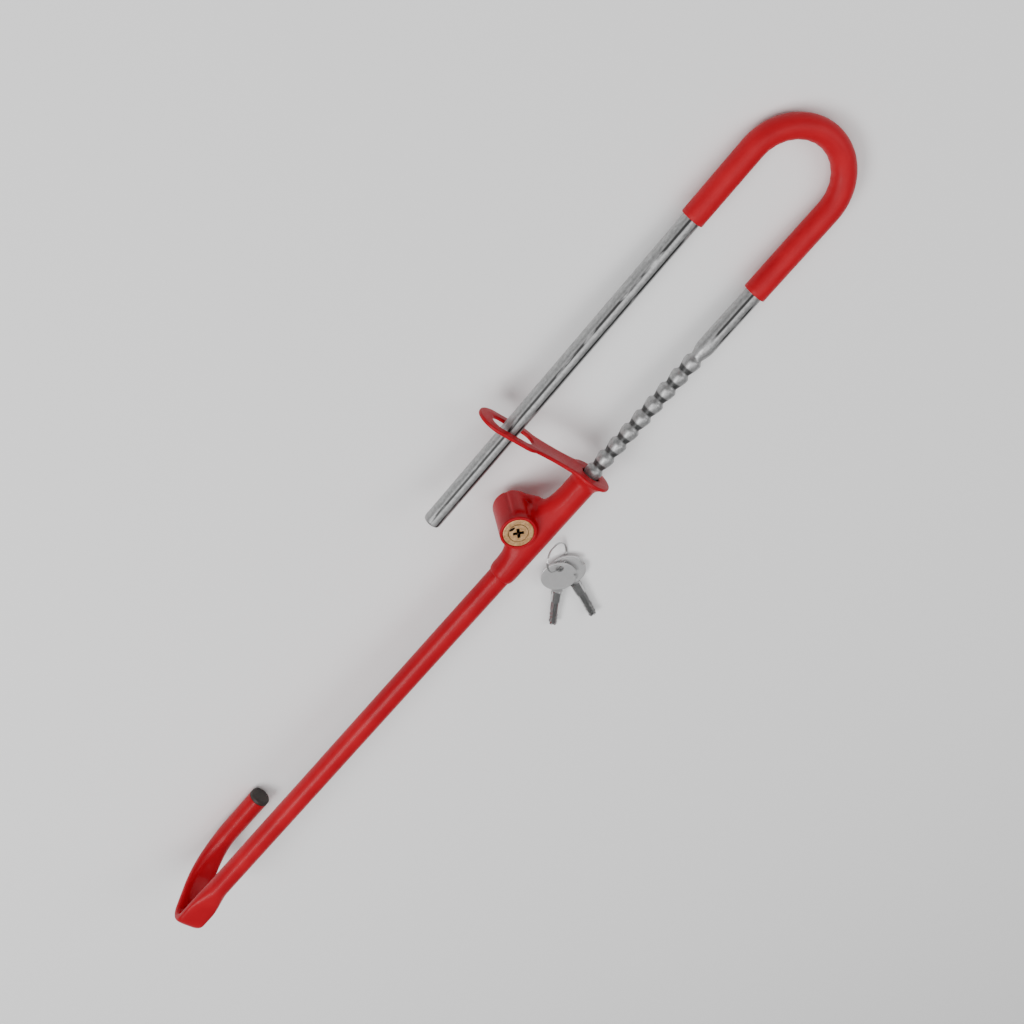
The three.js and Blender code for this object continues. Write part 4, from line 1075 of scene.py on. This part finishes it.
def shackle_stations():
    """Centres, radii and painted neck shade along the whole bar, from the notched end to the plain one."""
    samples = notch_profile()
    samples += [(x, ROD_RADIUS, 0) for x in evenly(PLAIN_FROM_X, BEND_CENTRE_X, 16, 1)]
    centres = [Vector((x, 0, 0)) for x, _, _ in samples]
    radii = [radius for _, radius, _ in samples]
    neck_shade = [dark for _, _, dark in samples]
    centres += bend_centres(48, 1)
    centres += [Vector((x, LEG_SPACING, 0)) for x in evenly(BEND_CENTRE_X, PLAIN_END_X + 2.2, 24, 1)]
    radii += [ROD_RADIUS] * (len(centres) - len(radii))
    for offset, radius in ((1.3, 5.85), (0.6, 5.4), (0.15, 4.7), (0.0, 3.9), (0.0, 0.2)):
        centres.append(Vector((PLAIN_END_X + offset, LEG_SPACING, 0)))
        radii.append(radius)
    neck_shade += [0] * (len(centres) - len(neck_shade))
    return centres, radii, neck_shade


def planar_directions(centres):
    """Stations along a route in the plane z = 0, whose side direction lies in that plane."""
    stations = []
    for i, centre in enumerate(centres):
        before = centres[max(i - 1, 0)]
        after = centres[min(i + 1, len(centres) - 1)]
        along = after - before
        if along.length < 1e-6:
            along = centre - centres[i - 3]
        along.normalize()
        stations.append((centre, along, Vector((-along.y, along.x, 0))))
    return stations


def make_shackle():
    centres, radii, neck_shade = shackle_stations()
    sides = 56

    def section(i, angle):
        return radii[i] * math.cos(angle), radii[i] * math.sin(angle)

    rod = sweep("notched_shackle", planar_directions(centres), section, sides, sharp=50)
    # The painted shade in the necks, one value for each ring.
    attribute = rod.data.attributes.new("neck_shade", "FLOAT", "POINT")
    attribute.data.foreach_set("value", np.repeat(np.array(neck_shade, np.float32), sides))
    settle(rod, LOCK, ZINC, "shackle", "zinc_plate", "shackle_rod")


def make_sleeve():
    """The vinyl's outer skin, turned in at each end over a lip and a short bore."""
    centres = [Vector((x, 0, 0)) for x in evenly(SLEEVE_NOTCHED_X, BEND_CENTRE_X, 22)[:-1]]
    centres += bend_centres(72)
    centres += [Vector((x, LEG_SPACING, 0)) for x in evenly(BEND_CENTRE_X, SLEEVE_PLAIN_X, 18, 1)]
    outer = planar_directions(centres)
    start, end = outer[0], outer[-1]
    inside_start = inwards(start, SLEEVE_BORE_DEPTH)
    inside_end = inwards(end, -SLEEVE_BORE_DEPTH)
    stations = [inside_start, start, start] + outer + [end, end, inside_end]
    radii = [SLEEVE_BORE, SLEEVE_BORE, SLEEVE_RADIUS - SLEEVE_LIP] + [SLEEVE_RADIUS] * len(outer)
    radii += [SLEEVE_RADIUS - SLEEVE_LIP, SLEEVE_BORE, SLEEVE_BORE]
    stations[3] = inwards(start, SLEEVE_LIP)
    stations[-4] = inwards(end, -SLEEVE_LIP)

    def section(i, angle):
        radius = radii[i]
        if radius == SLEEVE_RADIUS:
            radius -= crease_depth(stations[i][0], angle)
        return radius * math.cos(angle), radius * math.sin(angle)

    sleeve = sweep("grip_sleeve_vinyl", stations, section, 56, sharp=50)
    settle(sleeve, LOCK, VINYL, "shackle", "red_vinyl", "grip_sleeve")


def inwards(station, distance):
    """The station moved along its own direction, backwards if the distance is negative."""
    centre, along, side = station
    return centre + along * distance, along, side


def crease_depth(centre, angle):
    """The vinyl bunches a little on the inside of the bend and has one scuffed crease near its top."""
    round_bend = math.atan2(centre.x - BEND_CENTRE_X, LEG_SPACING / 2 - centre.y)
    on_bend = smoothstep(0, 0.3, round_bend) * (1 - smoothstep(math.pi - 0.3, math.pi, round_bend))
    inner_side = max(math.cos(angle), 0) ** 2
    bunching = BUNCHING_DEPTH * on_bend * inner_side * (1 + math.sin(round_bend * 26))
    along, round_vinyl = CREASE_PLACE
    away = ((round_bend - along) / CREASE_WIDTH) ** 2 + ((angle - round_vinyl) / CREASE_WIDTH) ** 2
    return bunching + CREASE_DEPTH * math.exp(-away)


# ---- Keys

def make_key(name):
    """A stamped head, and a turned collar with a cross blade. +X runs from the ring's hole to the tip."""
    head_centre = KEY_HEAD_RADIUS - KEY_HOLE_INSET
    head_end = head_centre + KEY_HEAD_RADIUS
    collar_from = head_end - 0.5
    collar_to = collar_from + KEY_COLLAR_LENGTH
    tip = KEY_LENGTH - KEY_HOLE_INSET
    matrix = key_matrix(name)
    make_key_head(name, head_centre, head_end, matrix)
    make_key_blade(name, collar_from, collar_to, tip, head_end, matrix)


def make_key_head(name, centre, end, matrix):
    """A disc with a coined line near its rim, a tang, the ring's hole, and two bites in its edge."""
    half = KEY_HEAD_THICKNESS / 2
    rim = KEY_HEAD_RADIUS
    line = KEY_LINE_RADIUS
    face = [(rim - 0.1, half - 0.18), (rim - 0.4, half - 0.03), (rim - 0.7, half), (line, half)]
    face += [(line - 0.15, half + 0.05), (line - 0.35, half + 0.05), (line - 0.5, half), (0.2, half)]
    back = [(radius, -z) for radius, z in reversed(face)]
    head = lathe(name + "_coined_head", back + [(rim, 0.35 - half), (rim, half - 0.35)] + face, 112)
    moved(head, shift(centre, 0, 0))
    add_to(head, box_tool((KEY_TANG, KEY_TANG, KEY_HEAD_THICKNESS), (end + 1, 0, 0)))
    hole = drill(KEY_HOLE_RADIUS, 3, 48)
    bite = moved(drill(KEY_BITE_RADIUS, 3, 32), shift(centre - 2, 12.4, 0))
    small_bite = moved(drill(KEY_SMALL_BITE_RADIUS, 3, 24), shift(centre + 1.2, 13.3, 0))
    carve(head, hole, bite, small_bite)
    settle(head, matrix, NICKEL_HEAD, name, "nickel_plate", name + "_head", sharp=8)


def make_key_blade(name, start, end, tip, head_end, matrix):
    """A beaded collar with four scoops in its end, and a cross blade. Drawn along Z, then laid along X."""
    bead = KEY_COLLAR_RADIUS
    waist = KEY_COLLAR_RADIUS - 0.35
    profile = [(0.3, start), (bead - 0.25, start), (bead, start + 0.25), (bead, start + 0.8)]
    profile += [(waist, start + 1.1), (waist, end - 0.5), (waist - 0.4, end), (0.3, end)]
    blade = lathe(name + "_cross_blade", profile, 56)
    length = tip - start - 4
    size = (2 * KEY_BLADE_HALF_SPAN, KEY_BLADE_WIDTH, length)
    arms = [box_tool(size, (0, 0, tip - length / 2), degrees) for degrees in (45, -45)]
    scoop_place = shift(KEY_COLLAR_RADIUS + 0.4, 0, end + 0.3)
    scoops = []
    for quarter in range(4):
        scoop = moved(drill(KEY_SCOOP_RADIUS, 4, 40), turned(90, "X"), scoop_place)
        scoops.append(moved(scoop, turned(90 * quarter, "Z")))
    carve(blade, *scoops)
    add_to(blade, *arms)
    carve(blade, *blade_cuts(end, tip))
    moved(blade, turned(90, "Y"))
    slot = box_tool((12, 12, KEY_HEAD_THICKNESS + 0.3), (head_end + KEY_SLOT_DEPTH - 6, 0, 0))
    carve(blade, slot)
    settle(blade, matrix, NICKEL, name, "nickel_plate", name + "_blade", sharp=30)


def blade_cuts(start, tip):
    """The bitting's round notches and the bevel at the tip, on each of the cross's four edges."""
    cuts = []
    for row, shares in enumerate(BITTING):
        turn = turned(45 + 90 * row, "Z")
        for share in shares:
            place = shift(KEY_BLADE_HALF_SPAN + 0.6, 0, start + (tip - start) * share)
            cuts.append(moved(drill(NOTCH_CUT_RADIUS, 2, 24), turned(90, "X"), place, turn))
        bevel = box_tool((4, 4, 9), (0, 0, 0))
        cuts.append(moved(bevel, turned(-34, "Y"), shift(KEY_BLADE_HALF_SPAN + 1.5, 0, tip), turn))
    return cuts


def make_split_ring():
    """Two turns of wire that lie on each other, with a joggle from the one to the other halfway."""
    wire = RING_WIRE / 2 - 0.02
    steps = 168
    away = Vector((math.cos(KEY_AWAY), math.sin(KEY_AWAY), 0))
    climb = Vector((math.sin(KEY_AWAY), -math.cos(KEY_AWAY), 0)) * math.cos(RING_LEAN)
    climb += Vector((0, 0, math.sin(RING_LEAN)))
    normal = away.cross(climb)
    stations = []
    for share in evenly(0, 1, steps):
        angle = RING_START + 2 * math.pi * RING_TURNS * share
        lift = (smoothstep(0.42, 0.58, share) * 2 - 1) * wire
        along = climb * math.cos(angle) - away * math.sin(angle)
        side = away * math.cos(angle) + climb * math.sin(angle)
        stations.append((side * RING_RADIUS + normal * lift, along.normalized(), side.normalized()))

    def section(i, angle):
        end = min(i, steps - i)
        radius = wire * (0.55 if end == 0 else 0.85 if end == 1 else 1.0)
        return radius * math.cos(angle), radius * math.sin(angle)

    ring = sweep("split_ring_wire", stations, section, 16)
    settle(ring, ring_matrix(), NICKEL, "key_ring", "nickel_plate", "split_ring")


# ---- Carried-over CAD nodes

def dress_inner_pieces():
    """Gives the CAD's own inner pieces their materials."""
    numbers = range(1, PIN_ROWS * len(PIN_LEVELS) + 1)
    brass = ["key_pin_%d" % number for number in numbers]
    steel = ["locking_bolt", "bolt_spring", "plug_clip", "cylinder_retaining_pin"]
    steel += ["driver_%s_%d" % (kind, number) for kind in ("pin", "spring") for number in numbers]
    for names, material in ((brass, BRASS), (steel, STEEL)):
        for name in names:
            for slot in frame["nodes"][name].material_slots:
                slot.material = material


# ---- Studio

def make_floor():
    mesh = bpy.data.meshes.new("floor")
    corners = [(x * FLOOR_HALF, y * FLOOR_HALF, 0) for x, y in ((-1, -1), (1, -1), (1, 1), (-1, 1))]
    mesh.from_pydata(corners, [], [(0, 1, 2, 3)])
    mesh.materials.append(Shader("studio_floor", Roughness=0.75, Base_Color=grey(0.93)).material)
    linked("floor", mesh)


def make_lights():
    """Softboxes that face the row's origin, and an even white surround."""
    for name, place, size, power in SOFTBOXES:
        light = bpy.data.lights.new(name, "AREA")
        light.shape = "RECTANGLE"
        light.size, light.size_y = size
        light.energy = power
        lamp = linked(name, light)
        lamp.location = place
        lamp.rotation_euler = (-Vector(place)).to_track_quat("-Z", "Y").to_euler()
    world = bpy.data.worlds.new("studio")
    world.use_nodes = True
    surround = world.node_tree.nodes["Background"]
    surround.inputs["Color"].default_value = (1, 1, 1, 1)
    surround.inputs["Strength"].default_value = WORLD_STRENGTH
    bpy.context.scene.world = world


def make_camera():
    camera = linked("camera", bpy.data.cameras.new("camera"))
    camera.data.lens = LENS_MM
    camera.data.sensor_width = SENSOR_MM
    turn = LOCK.to_3x3().normalized()
    forward = (turn @ (CAMERA_AIM - CAMERA_PLACE)).normalized()
    right = forward.cross(turn @ CAMERA_TOP).normalized()
    up = right.cross(forward)
    facing = Matrix((right, up, -forward)).transposed().to_4x4()
    camera.matrix_world = Matrix.Translation(LOCK @ CAMERA_PLACE) @ facing
    bpy.context.scene.camera = camera


make_camera()
make_lights()
make_floor()
make_lower_tube()
make_hook_cap()
make_weldment()
make_rear_cap()
make_guide_plate()
make_cylinder_body()
make_plug()
make_shackle()
make_sleeve()
make_split_ring()
make_key("key_a")
make_key("key_b")
dress_inner_pieces()
